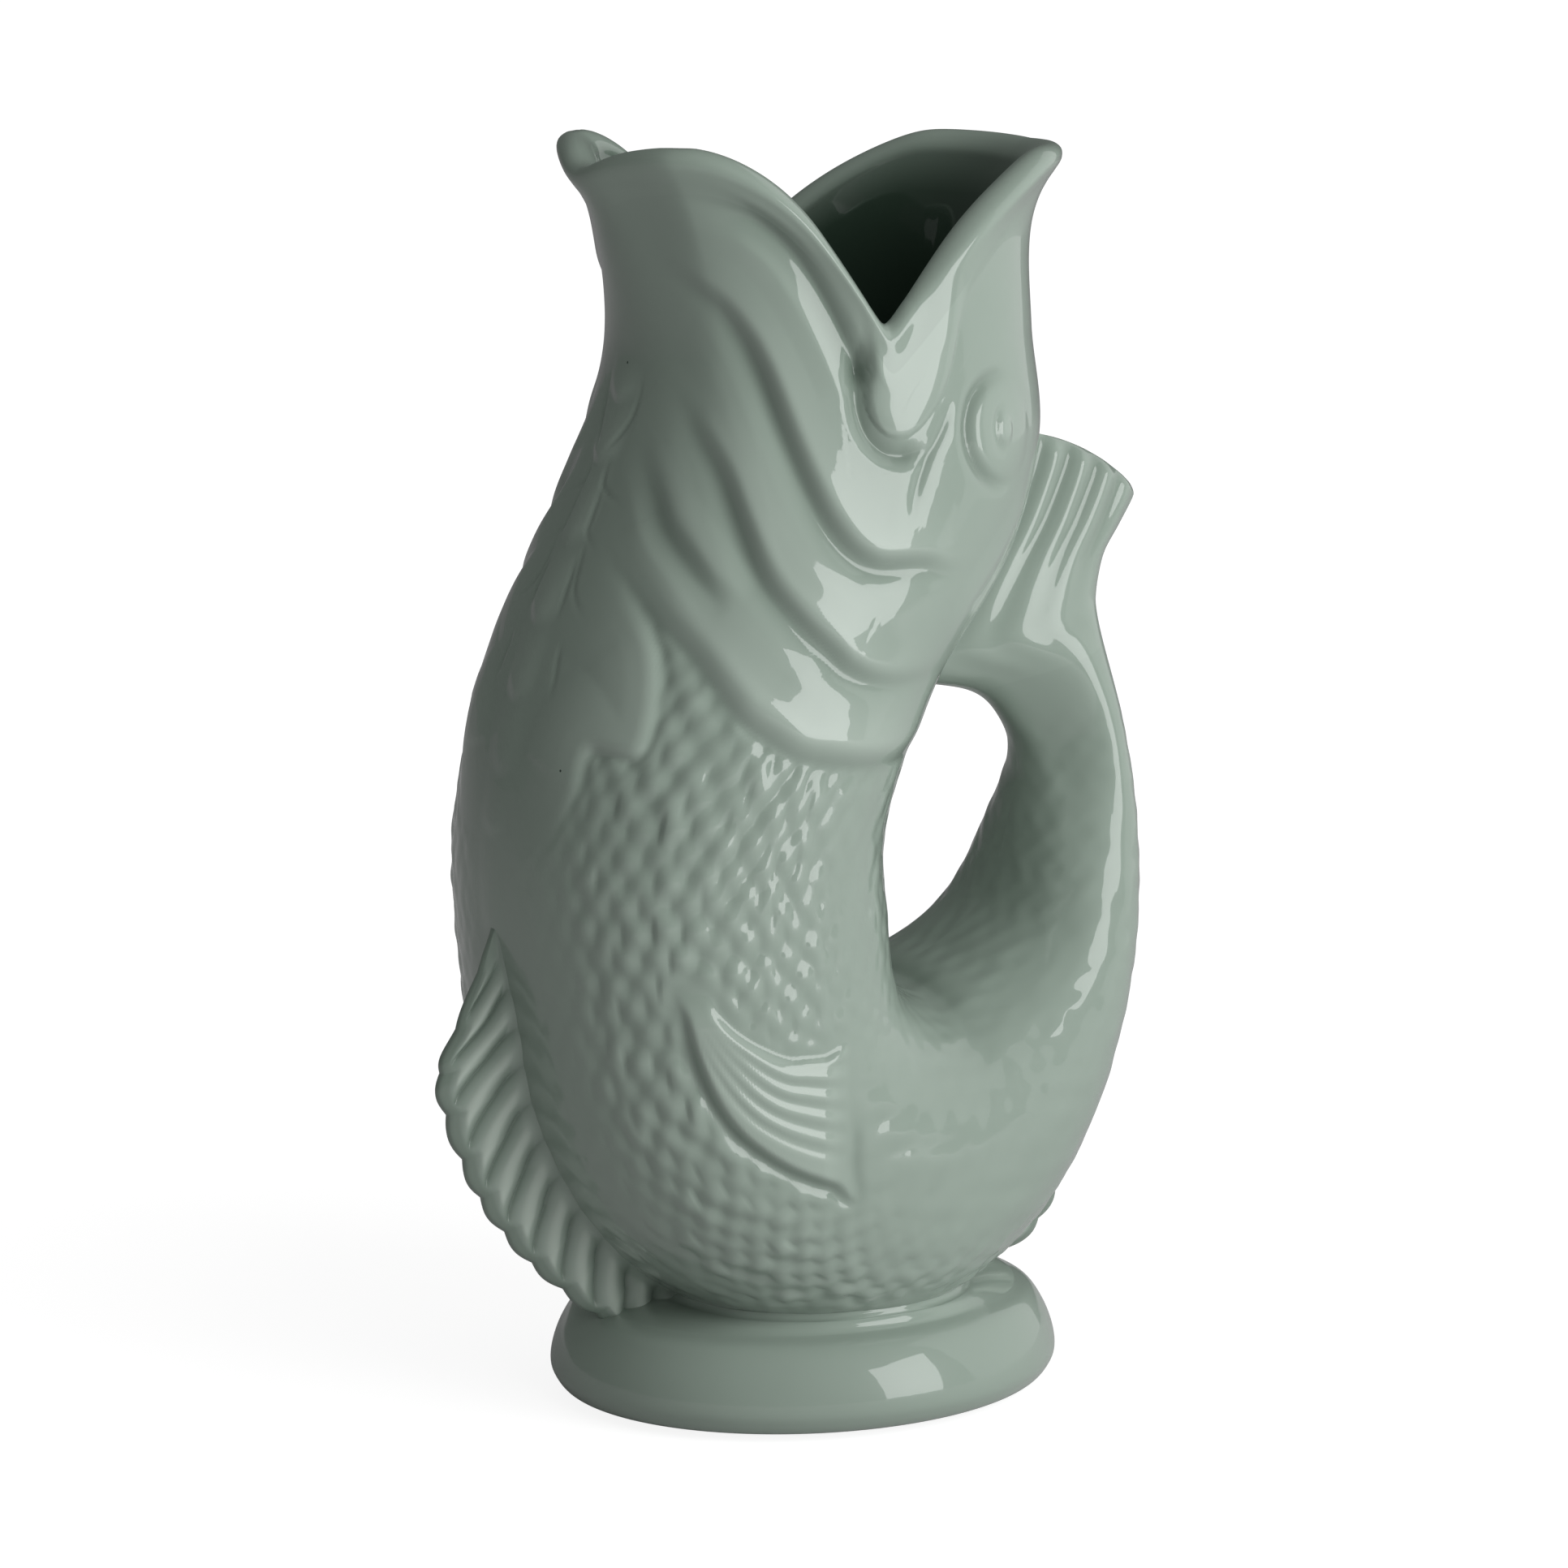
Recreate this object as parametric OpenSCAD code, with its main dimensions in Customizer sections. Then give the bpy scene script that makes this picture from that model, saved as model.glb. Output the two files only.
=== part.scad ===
// Gurgle jug: a glazed earthenware jug in the shape of a fish that stands on its belly.
// The open mouth is the pouring lip, and the hollow tail curls up behind as the handle.
// The origin is on the table, at the middle of the jug's length. +Z is up, the spout
// faces -X and the handle +X. The jug is the same on both sides of the XZ plane.

/* [Body] */
// Height of the body above the foot
body_h = 220; // [190:1:250]
// Length from the breast to the outside of the handle
body_l = 130; // [115:1:150]
// Width of the belly across the flanks
body_w = 91; // [80:1:105]
// Width of the neck under the mouth
neck_w = 73; // [64:1:84]
// Thickness of the clay wall
wall = 4.5; // [3.5:0.1:5.5]

/* [Mouth] */
// How far the corners of the mouth lie below the spout
mouth_dip = 34; // [25:1:45]
// Height of the rolled lip
lip_h = 5; // [3.5:0.1:6.5]
// Width of the rolled lip across the rim
lip_w = 7; // [5.5:0.1:8.5]

/* [Handle] */
// Width of the tail across the grip, where it leaves the body
handle_w = 41; // [34:1:50]
// Length of the tail fin above the grip
fan_l = 40; // [34:1:46]
// Height of the ribs on the tail fin
fan_rib = 0.8; // [0.3:0.1:1.5]

/* [Foot] */
// Length of the oval foot
foot_l = 99; // [86:1:112]
// Width of the oval foot
foot_w = 87; // [76:1:98]
// Height of the foot
foot_h = 19; // [15:1:26]
// Width of the ring that touches the table
foot_ring_w = 8; // [5:0.5:11]

/* [Fins] */
// How far the belly fin stands out from the breast
belly_fin_rise = 17; // [12:0.5:22]
// Thickness of the belly fin at its root
belly_fin_t = 7; // [5:0.5:9]
// Rays in the belly fin
belly_rays = 11; // [8:1:13]
// How far the vent fin stands out behind the foot
vent_fin_rise = 12; // [8:0.5:15]
// Thickness of the vent fin at its root
vent_fin_t = 5; // [3.5:0.5:7]
// Relief of the two pairs of side fins
side_fin_rise = 1.8; // [1:0.1:3]
// Ribs in each rear side fin
side_ribs = 5; // [3:1:7]

/* [Head] */
// Relief of the gill covers at their rear edge
gill_rise = 2.4; // [1.2:0.1:3.5]
// Relief of the folds of skin behind the jaws
fold_rise = 1.6; // [0.8:0.1:2.5]
// Relief of the overlapping plates down the breast
plate_rise = 1.4; // [0.7:0.1:2.5]
// Diameter of an eye
eye_d = 21; // [16:0.5:25]
// How far an eye stands out
eye_rise = 2.2; // [1.2:0.1:3.5]

/* [Hidden] */

glaze = [0.55, 0.61, 0.56];
bare_clay = [0.86, 0.83, 0.77];
// Points round each section of the body, and rows for each station along it
sides = 56;
rows_per_station = 3;
head_rows = 16;
head_inner_rows = 8;
hollow_rows = 8;
// Joint between a piece laid on the skin and the skin
clearance = 0.25;

// The body is a bent tube. Each row of these tables is a station along it: the outer
// point of its section (X, Z), the inner point (X, Z), half the width, and how square
// the section is. X is a share of body_l from the centre of the foot, Z a share of
// body_h above the foot, and the half width a share of neck_w, body_w and handle_w in
// turn.
neck_shares = [
    [-0.368, 0.995, 0.39, 0.995, 0.455, 2.1],
    [-0.316, 0.92, 0.336, 0.92, 0.465, 2.1],
    [-0.285, 0.82, 0.33, 0.835, 0.5, 2.1]];
trunk_shares = [
    [-0.335, 0.72, 0.34, 0.745, 0.44, 2.1],
    [-0.418, 0.615, 0.285, 0.65, 0.47, 2.15],
    [-0.48, 0.505, 0.15, 0.545, 0.49, 2.2],
    [-0.505, 0.4, 0.06, 0.435, 0.495, 2.3],
    [-0.49, 0.29, 0.055, 0.35, 0.5, 2.4],
    [-0.455, 0.18, 0.065, 0.295, 0.5, 2.5],
    [-0.355, 0.075, 0.09, 0.275, 0.495, 2.5],
    [-0.19, 0, 0.125, 0.265, 0.485, 2.5],
    [0.04, -0.025, 0.15, 0.265, 0.46, 2.5]];
tail_shares = [
    [0.26, 0.03, 0.175, 0.275, 0.93, 2.4],
    [0.41, 0.13, 0.235, 0.292, 0.79, 2.3],
    [0.5, 0.26, 0.305, 0.327, 0.63, 2.2],
    [0.525, 0.38, 0.345, 0.395, 0.5, 2.1],
    [0.51, 0.48, 0.355, 0.455, 0.4, 2],
    [0.482, 0.555, 0.29, 0.515, 0.345, 2]];
// Height of one station of the neck, as a share of body_h
station_share = 0.09;
neck_pitch = station_share*body_h;

// Rows of the tables down from the mouth to where the shells of the head, the shoulder,
// the belly, the base and the tail end
rows_to_head_end = 4;
rows_to_shoulder_end = 6.5;
rows_to_belly_end = 9.5;
rows_to_base_end = 12;
rows_to_tail_end = 17;
// The hollow of the tail stops short of the fin
rows_to_hollow_end = 16.2;

// The mouth: angle of its corners round the section, and the spread of the spout
// and of the upper jaw from there
corner_angle = 96;
spout_angle = 43;
jaw_angle = 55;
// How fast the rim rises from the corners to the spout and to the upper jaw
spout_power_share = 2.2;
jaw_power_share = 1.3;
// Drop of the upper jaw below the spout, and of the tips of both below their sides, as
// shares of mouth_dip
jaw_share = 0.1;
jaw_tip_share = 0.02;
spout_tip_share = 0.13;

// Section of the lip: across the rim from its inside (share of lip_w), then up
// (share of lip_h)
lip_shares = [[-0.03, 0.35], [0.08, 0.75], [0.32, 1], [0.62, 0.98], [0.88, 0.75], [0.97, 0.4]];

// Step along the skin, in stations, that gives the lip its direction
lip_step_share = 0.2;

// The tail fin: outer edge (X, Z), station of the head that its inner edge meets,
// how far it has reached the head, half thickness (share of handle_w), and bow
fan_shares = [
    [0, 0, 5.3, 0, 0.345, 0],
    [0.002, 0.075, 5.3, 0.4, 0.3, 0],
    [0.01, 0.15, 5.1, 1, 0.245, 0],
    [0.03, 0.25, 4.8, 1, 0.2, 0.01],
    [0.07, 0.36, 4.4, 1, 0.165, 0.03],
    [0.15, 0.47, 4, 1, 0.14, 0.05],
    [0.225, 0.58, 3.55, 1, 0.115, 0.07],
    [0.255, 0.64, 3.15, 1, 0.085, 0.075]];
fan_rows = 14;
fan_sides = 64;
fan_ribs = 7;
// How square the fin is along its inner edge, and the shares of its height over which
// that edge and the ribs come in
fan_square_share = 4;
fan_corner_share = 0.25;
fan_rib_share = 0.5;

// The foot, from its rim up: inset from its widest line (share of foot_h) and
// height (share of foot_h)
foot_shares = [[0.45, 0.03], [0.32, 0.045], [0.13, 0.1], [0.03, 0.22], [0, 0.34], [0.03, 0.52],
    [0.11, 0.72], [0.24, 0.91], [0.42, 1]];
// Slope of the hollow under the foot, as a share of foot_h
foot_draft_share = 0.1;

// The belly fin: station of its root, then how far its edge lies out and down
// (shares of belly_fin_rise)
belly_fin_shares = [[6.5, 0.02, 0], [6.8, 0.27, 0.04], [7.1, 0.62, 0.23], [7.4, 0.89, 0.27],
    [7.7, 0.89, 0.31], [8, 0.82, 0.41], [8.3, 0.78, 0.44], [8.6, 0.71, 0.44],
    [8.9, 0.64, 0.42], [9.2, 0.57, 0.38], [9.5, 0.52, 0.31], [9.75, 0.49, 0.15]];
belly_scallop_share = 0.07;
// Depth of the grooves between the rays, as a share of the thickness
ray_share = 0.16;
// The vent fin, in the same way
vent_fin_shares = [[11.95, 0.97, 0.5], [12.15, 1, 0.6], [12.35, 0.98, 0.68], [12.55, 0.86, 0.62],
    [12.75, 0.54, 0.46], [12.9, 0.22, 0.18], [12.97, 0.05, 0.02]];
vent_scallop_share = 0.1;
vent_rays = 3;
// Thickness of these two fins at their edge, as a share of their root, and the points
// that draw them along each ray and out from the body
fin_edge_share = 0.45;
ray_rows = 5;
fin_point_count = 5;

// Lines on the near flank: station, and degrees round the section from the back
lip_line_shares = [[0.75, 134], [1, 124], [1.4, 116], [1.8, 111], [2.15, 106], [2.5, 104],
    [2.75, 99], [2.85, 92], [2.8, 88]];
fold_line_shares = [[1.3, 150], [1.6, 133], [1.85, 128], [2.25, 124], [2.65, 119.5], [3, 113],
    [3.25, 106.5], [3.55, 98], [3.75, 90]];
cheek_top_shares = [[1.5, 155], [1.8, 137], [2.1, 130], [2.45, 125], [2.8, 121], [3.15, 114],
    [3.45, 105], [3.75, 95], [4, 83]];
cheek_low_shares = [[2.4, 151], [2.65, 144], [2.95, 135], [3.3, 127], [3.65, 118.5],
    [3.9, 111], [4.15, 101.5], [4.4, 94], [4.6, 86]];
gill_top_shares = [[2.7, 153], [3, 139], [3.35, 130], [3.7, 121], [4, 112], [4.3, 101],
    [4.6, 90], [4.85, 75], [4.9, 60]];
gill_edge_shares = [[3.45, 165], [3.75, 152], [4.05, 140], [4.3, 129], [4.6, 118], [4.85, 107],
    [5.1, 95], [5.3, 78], [5.38, 61]];
breast_fin_near_shares = [[3.65, 163], [4.1, 150], [4.45, 141], [4.75, 136], [5, 134], [5.05, 140]];
breast_fin_far_shares = [[3.7, 170], [4.2, 170], [4.7, 169], [5.1, 166], [5.4, 161], [5.5, 157]];
rear_fin_low_shares = [[6.75, 122], [7.3, 117], [7.95, 109], [8.6, 101.5], [9.2, 96], [9.5, 92]];
rear_fin_top_shares = [[6.9, 114], [7.15, 107], [7.4, 100], [7.6, 94], [7.85, 85], [8.05, 76]];
// Ends of the overlapping plates on the breast, and half their width in degrees
plate_shares = [2.1, 2.5, 2.95, 3.6, 4.75, 5.3, 5.8, 6.4];
plate_angle = 8;
// Rows along and points across the pieces laid on the skin
laid_row_count = 16;
laid_point_count = 5;
plate_row_count = 36;
// Least thickness of a piece laid on the skin, at its edge
thin_share = 0.15;
// Height and width that a fold keeps at its ends, as shares of its middle
end_share = 0.4;
fold_pinch_share = 0.15;
// Margin left between neighbouring pieces on the skin, as a share of their width
margin_share = 0.05;
// How the gill cover thickens towards its rear edge, and how deep the side ribs are cut
gill_power_share = 0.7;
groove_share = 0.6;

// Eye: its centre, in rows down from the mouth and degrees from the back of the head,
// then the size and height of its pupil as shares of the eye's
rows_to_eye = 2.8;
eye_angle = 62;
pupil_share = 0.38;
pupil_rise_share = 0.35;
eye_sides = 24;
eye_rings = 6;

// A point on the smooth curve through p, q, r and s, between q and r
function spline(p, q, r, s, f) =
    q + f*((r - p) + f*((2*p - 5*q + 4*r - s) + f*(3*q - p - 3*r + s)))/2;

// A point on the smooth curve through the rows of a table, at row number t
function on_curve(rows, t) =
    let (n = len(rows))
    let (i = max(0, min(n - 2, floor(t))))
    let (q = rows[i])
    let (r = rows[i + 1])
    let (p = i > 0 ? rows[i - 1] : 2*q - r)
    let (s = i < n - 2 ? rows[i + 2] : 2*r - q)
    spline(p, q, r, s, t - i);

function on_share(rows, u) = on_curve(rows, u*(len(rows) - 1));

function real_row(s, w) =
    [foot_x + s[0]*body_l, foot_h + s[1]*body_h, foot_x + s[2]*body_l, foot_h + s[3]*body_h,
        s[4]*w, s[5]];

// How far the centre of the foot lies behind the middle of the jug's length
foot_back_share = 0.0188;
foot_x = foot_back_share*body_l;

stations = concat(
    [for (s = neck_shares) real_row(s, neck_w)],
    [for (s = trunk_shares) real_row(s, body_w)],
    [for (s = tail_shares) real_row(s, handle_w)]);

function signed_power(v, e) = sign(v)*pow(abs(v), e);

// A point on a section: a is 0 at its inner point and 180 at its outer one, and the
// near flank (-Y) lies between. It lies depth under the skin.
function on_section(s, a, depth = 0) =
    let (outer = [s[0], s[1]])
    let (inner = [s[2], s[3]])
    let (half = norm(inner - outer)/2)
    let (middle = (inner + outer)/2)
    let (reach = (inner - outer)/(2*half))
    let (c = (half - depth)*signed_power(cos(a), 2/s[5]))
    let (d = (s[4] - depth)*signed_power(sin(a), 2/s[5]))
    [middle.x + reach.x*c, -d, middle.y + reach.y*c];

// A point on the skin of the body. The belly is flat where it stands on the foot.
function skin(t, a, depth = 0) =
    let (p = on_section(on_curve(stations, t), a, depth))
    [p.x, p.y, max(foot_h + max(depth, 0), p.z)];

// How far the rim lies below the highest station, at an angle round the mouth
function rim_dip(a) =
    let (b = a > 180 ? 360 - a : a)
    let (away = abs(b - corner_angle))
    let (jaw = max(0, away - jaw_angle)/(corner_angle - jaw_angle))
    let (spout = max(0, away - spout_angle)/(180 - corner_angle - spout_angle))
    b > corner_angle
        ? mouth_dip*(pow(max(0, 1 - away/spout_angle), spout_power_share) + spout_tip_share*spout*spout)
        : mouth_dip*(mix(jaw_share, 1, pow(max(0, 1 - away/jaw_angle), jaw_power_share))
            + jaw_tip_share*jaw*jaw);

function rim_station(a) = (rim_dip(a) + lip_h)/neck_pitch;

function mix(p, q, f) = p*(1 - f) + q*f;

function unit(v) = v/norm(v);

function flat_list(lists) = [for (l = lists) each l];

// Two triangles for each square of a grid of points, where the rows close on
// themselves if wrap is 1
function grid_faces(rows, cols, first, wrap, flip) =
    [for (i = [0:rows - 2], j = [0:cols - 2 + wrap])
        let (a = first + i*cols + j)
        let (b = first + i*cols + (j + 1)%cols)
        let (c = b + cols)
        let (d = a + cols)
        each flip ? [[a, c, b], [a, d, c]] : [[a, b, c], [a, c, d]]];

// Triangles between two closed rows with the same number of points
function band_faces(cols, first, second, flip) =
    [for (j = [0:cols - 1])
        let (k = (j + 1)%cols)
        each flip
            ? [[first + j, second + k, first + k], [first + j, second + j, second + k]]
            : [[first + j, first + k, second + k], [first + j, second + k, second + j]]];

// Triangles from a closed row to the point at its middle
function cap_faces(cols, first, middle, flip) =
    [for (j = [0:cols - 1])
        let (k = (j + 1)%cols)
        flip ? [first + j, first + k, middle] : [first + k, first + j, middle]];

// A tube with a wall: rows of points outside and inside, joined at both ends
module open_shell(outer, inner) {
    cols = len(outer[0]);
    a = len(outer);
    b = len(inner);
    polyhedron(
        points = concat(flat_list(outer), flat_list(inner)),
        faces = concat(
            grid_faces(a, cols, 0, 1, false),
            grid_faces(b, cols, a*cols, 1, true),
            band_faces(cols, 0, a*cols, true),
            band_faces(cols, (a - 1)*cols, (a + b - 1)*cols, false)));
}

// The same with its far end closed, outside and inside
module closed_shell(outer, inner) {
    cols = len(outer[0]);
    a = len(outer);
    b = len(inner);
    last = (a + b)*cols;
    polyhedron(
        points = concat(flat_list(outer), flat_list(inner),
            [centre_of(outer[a - 1]), centre_of(inner[b - 1])]),
        faces = concat(
            grid_faces(a, cols, 0, 1, false),
            grid_faces(b, cols, a*cols, 1, true),
            band_faces(cols, 0, a*cols, true),
            cap_faces(cols, (a - 1)*cols, last, true),
            cap_faces(cols, (a + b - 1)*cols, last + 1, false)));
}

function centre_of(ring) =
    [for (k = [0:2]) sum_of([for (p = ring) p[k]])/len(ring)];

function sum_of(v) = v*[for (x = v) 1];

// A solid between two equal grids of points, the top one outside
module slab(top, bottom) {
    rows = len(top);
    cols = len(top[0]);
    low = rows*cols;
    side_faces =
        [for (j = [0:cols - 2])
            let (a = j)
            let (b = (rows - 1)*cols + j)
            each [[a, low + a + 1, a + 1], [a, low + a, low + a + 1],
                [b, b + 1, low + b + 1], [b, low + b + 1, low + b]]];
    end_faces =
        [for (i = [0:rows - 2])
            let (a = i*cols)
            let (b = i*cols + cols - 1)
            each [[a, a + cols, low + a + cols], [a, low + a + cols, low + a],
                [b, low + b + cols, b + cols], [b, low + b, low + b + cols]]];
    polyhedron(
        points = concat(flat_list(top), flat_list(bottom)),
        faces = concat(
            grid_faces(rows, cols, 0, 0, false),
            grid_faces(rows, cols, low, 0, true),
            side_faces,
            end_faces));
}

// Rows of points round the body between two stations
function skin_rows(from, to, count, depth) =
    [for (i = [0:count])
        [for (j = [0:sides - 1]) skin(mix(from, to, i/count), j*360/sides, depth)]];

module head_shell() {
    color(glaze)
        open_shell(
            [for (i = [0:head_rows])
                [for (j = [0:sides - 1])
                    let (a = j*360/sides)
                    skin(mix(rim_station(a), rows_to_head_end, i/head_rows), a)]],
            [for (i = [0:head_inner_rows])
                [for (j = [0:sides - 1])
                    let (a = j*360/sides)
                    skin(mix(rim_station(a), rows_to_head_end, i/head_inner_rows), a, wall)]]);
}

// The lip is rolled outwards over the rim of the head
module lip_bead() {
    ring = [for (j = [0:sides - 1])
        let (a = j*360/sides)
        let (t = rim_station(a))
        let (outside = skin(t, a))
        let (inside = skin(t, a, wall))
        let (up = unit(skin(t - lip_step_share, a) - outside))
        let (out = unit(outside - inside))
        concat([inside],
            [for (s = lip_shares) inside + out*s[0]*lip_w + up*s[1]*lip_h],
            [outside])];
    count = len(lip_shares) + 2;
    color(glaze)
        polyhedron(
            points = flat_list(ring),
            faces = [for (j = [0:sides - 1], k = [0:count - 1])
                let (a = j*count + k)
                let (b = j*count + (k + 1)%count)
                let (c = ((j + 1)%sides)*count + (k + 1)%count)
                let (d = ((j + 1)%sides)*count + k)
                each [[a, c, b], [a, d, c]]]);
}

module trunk_shell(from, to) {
    count = ceil((to - from)*rows_per_station);
    color(glaze)
        open_shell(
            skin_rows(from, to, count, 0),
            skin_rows(from, to, ceil(count/2), wall));
}

module shoulder_shell() {
    trunk_shell(rows_to_head_end, rows_to_shoulder_end);
}

module belly_shell() {
    trunk_shell(rows_to_shoulder_end, rows_to_belly_end);
}

module base_shell() {
    trunk_shell(rows_to_belly_end, rows_to_base_end);
}

// The tail is hollow as far as its fin: it holds the air that makes the jug gurgle
module tail_tube() {
    count = (rows_to_tail_end - rows_to_base_end)*rows_per_station;
    color(glaze)
        closed_shell(
            skin_rows(rows_to_base_end, rows_to_tail_end, count, 0),
            skin_rows(rows_to_base_end, rows_to_hollow_end, hollow_rows, wall));
}

// Row of the tail fin: its outer and inner edges, half thickness and bow
function fan_row(s) =
    let (tip = on_curve(stations, rows_to_tail_end))
    let (head = skin(s[2], 0, -clearance))
    let (inner = mix([tip[2], tip[3]], [head.x, head.z], s[3]))
    [tip[0] + s[0]*fan_l, tip[1] + s[1]*fan_l, inner.x, inner.y, s[4]*handle_w,
        s[5]*fan_l];

fan_table = [for (s = fan_shares) fan_row(s)];

function fan_point(u, a) =
    let (r = on_share(fan_table, u))
    let (outer = [r[0], r[1]])
    let (inner = [r[2], r[3]])
    let (half = norm(inner - outer)/2)
    let (reach = (inner - outer)/(2*half))
    let (rise = [reach.y, -reach.x])
    let (square = cos(a) > 0 ? mix(2, fan_square_share, min(1, u/fan_corner_share)) : 2)
    let (c = signed_power(cos(a), 2/square))
    let (d = signed_power(sin(a), 2/square))
    let (rib = fan_rib*min(1, u/fan_rib_share)*(1 - cos(fan_ribs*180*(1 - c)))/2*abs(d))
    let (p = (inner + outer)/2 + reach*half*c + rise*r[5]*(1 - c*c))
    [p.x, -(r[4]*d - sign(d)*rib), p.y];

module tail_fin() {
    grid = [for (i = [0:fan_rows])
        [for (j = [0:fan_sides - 1]) fan_point(i/fan_rows, j*360/fan_sides)]];
    last = (fan_rows + 1)*fan_sides;
    color(glaze)
        polyhedron(
            points = concat(flat_list(grid), [centre_of(grid[0]), centre_of(grid[fan_rows])]),
            faces = concat(
                grid_faces(fan_rows + 1, fan_sides, 0, 1, false),
                cap_faces(fan_sides, 0, last, false),
                cap_faces(fan_sides, fan_rows*fan_sides, last + 1, true)));
}

rim_out = foot_shares[0][0]*foot_h;
rim_in = rim_out + foot_ring_w;

function oval(inset) =
    [for (j = [0:sides - 1])
        let (a = j*360/sides)
        [foot_x + (foot_l/2 - inset)*cos(a), (inset - foot_w/2)*sin(a)]];

function oval_at(inset, z) = [for (p = oval(inset)) [p.x, p.y, z]];

// The foot is hollow underneath
module foot_ring() {
    roof = foot_h - wall;
    color(glaze)
        closed_shell(
            [for (s = foot_shares) oval_at(s[0]*foot_h, s[1]*foot_h)],
            [oval_at(rim_in, foot_shares[0][1]*foot_h),
                oval_at(rim_in + foot_draft_share*foot_h, roof)]);
}

// The rim that touches the table, wiped clean of glaze before firing
module foot_rim() {
    color(bare_clay)
        linear_extrude(foot_shares[0][1]*foot_h)
            difference() {
                polygon(oval(rim_out));
                polygon(oval(rim_in));
            }
}

// Grid of points on a piece laid on the skin between two lines. lift gives its height
// at a share along the lines and a share across them.
function laid_rows(line_a, line_b, along, across, pinch, lift) =
    [for (i = [0:along])
        let (width = mix(pinch, 1 - 2*margin_share, sqrt(sin(180*i/along))))
        [for (j = [0:across])
            let (v = 0.5 + width*(j/across - 0.5))
            let (p = mix(on_share(line_a, i/along), on_share(line_b, i/along), v))
            skin(p[0], p[1], -clearance - lift(i/along, j/across))]];

// pinch is the share of its width that the piece keeps at its ends
module laid_piece(line_a, line_b, along, across, pinch, lift) {
    color(glaze)
        slab(
            laid_rows(line_a, line_b, along, across, pinch, lift),
            laid_rows(line_a, line_b, along, across, pinch, function (u, v) 0));
}

// The far flank mirrors the near one
module on_flank(far) {
    mirror([0, far ? 1 : 0, 0])
        children();
}

// Height across a fold and along it, as shares of its full height
function swell(v) = mix(thin_share, 1, sin(180*v));

function fade(u) = mix(end_share, 1, sin(180*u));

function rib_wave(v) = cos(360*side_ribs*(v - 0.5));

module jaw_fold(far) {
    on_flank(far)
        laid_piece(lip_line_shares, fold_line_shares, laid_row_count, laid_point_count, fold_pinch_share,
            function (u, v) fold_rise*swell(v)*fade(u));
}

module cheek_fold(far) {
    on_flank(far)
        laid_piece(cheek_top_shares, cheek_low_shares, laid_row_count, laid_point_count, fold_pinch_share,
            function (u, v) fold_rise*swell(v)*fade(u));
}

module gill_cover(far) {
    on_flank(far)
        laid_piece(gill_top_shares, gill_edge_shares, laid_row_count, laid_point_count, fold_pinch_share,
            function (u, v) gill_rise*mix(thin_share, 1, pow(v, gill_power_share))*fade(u));
}

module breast_fin(far) {
    on_flank(far)
        laid_piece(breast_fin_near_shares, breast_fin_far_shares, laid_row_count, laid_point_count,
            fold_pinch_share,
            function (u, v) side_fin_rise*swell(v)*fade(u));
}

module rear_fin(far) {
    on_flank(far)
        laid_piece(rear_fin_low_shares, rear_fin_top_shares, laid_row_count, 3*side_ribs,
            1 - 2*margin_share,
            function (u, v) side_fin_rise*fade(u)*(1 - groove_share*(1 - rib_wave(v))/2));
}

// Place along a list of ends, as the share of the way through the plate it is in
function plate_share(t) =
    let (i = max([for (k = [0:len(plate_shares) - 2]) plate_shares[k] <= t ? k : 0]))
    (t - plate_shares[i])/(plate_shares[i + 1] - plate_shares[i]);

module breast_plates() {
    first = plate_shares[0];
    last = plate_shares[len(plate_shares) - 1];
    laid_piece([[first, 180 - plate_angle], [last, 180 - plate_angle]],
        [[first, 180 + plate_angle], [last, 180 + plate_angle]],
        plate_row_count, laid_point_count, fold_pinch_share,
        function (u, v) plate_rise*swell(v)*fade(plate_share(mix(first, last, u))));
}

// A fin that stands on the midline: its root follows the skin and its edge is scalloped
module blade(table, rise, thick, rays, scallop_share) {
    steps = ray_rows*rays;
    function blade_point(u, v, face) =
        let (r = on_share(table, u))
        let (root = skin(r[0], 180, -clearance))
        let (arc = abs(sin(180*rays*u)))
        let (edge = root + rise*(1 - scallop_share*(1 - arc))*[r[1]*sign(root.x), 0, -r[2]])
        let (half = thick/2*mix(1, fin_edge_share, v)*(1 - ray_share*(1 - arc)*sin(180*v)))
        let (p = mix(root, edge, v))
        [p.x, face*half, p.z];
    function blade_rows(face) =
        [for (i = [0:steps]) [for (j = [0:fin_point_count]) blade_point(i/steps, j/fin_point_count, face)]];
    facing = table[0][0] < rows_to_tail_end/2 ? 1 : -1;
    color(glaze)
        slab(blade_rows(-facing), blade_rows(facing));
}

module belly_fin() {
    blade(belly_fin_shares, belly_fin_rise, belly_fin_t, belly_rays, belly_scallop_share);
}

module vent_fin() {
    blade(vent_fin_shares, vent_fin_rise, vent_fin_t, vent_rays, vent_scallop_share);
}

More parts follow.
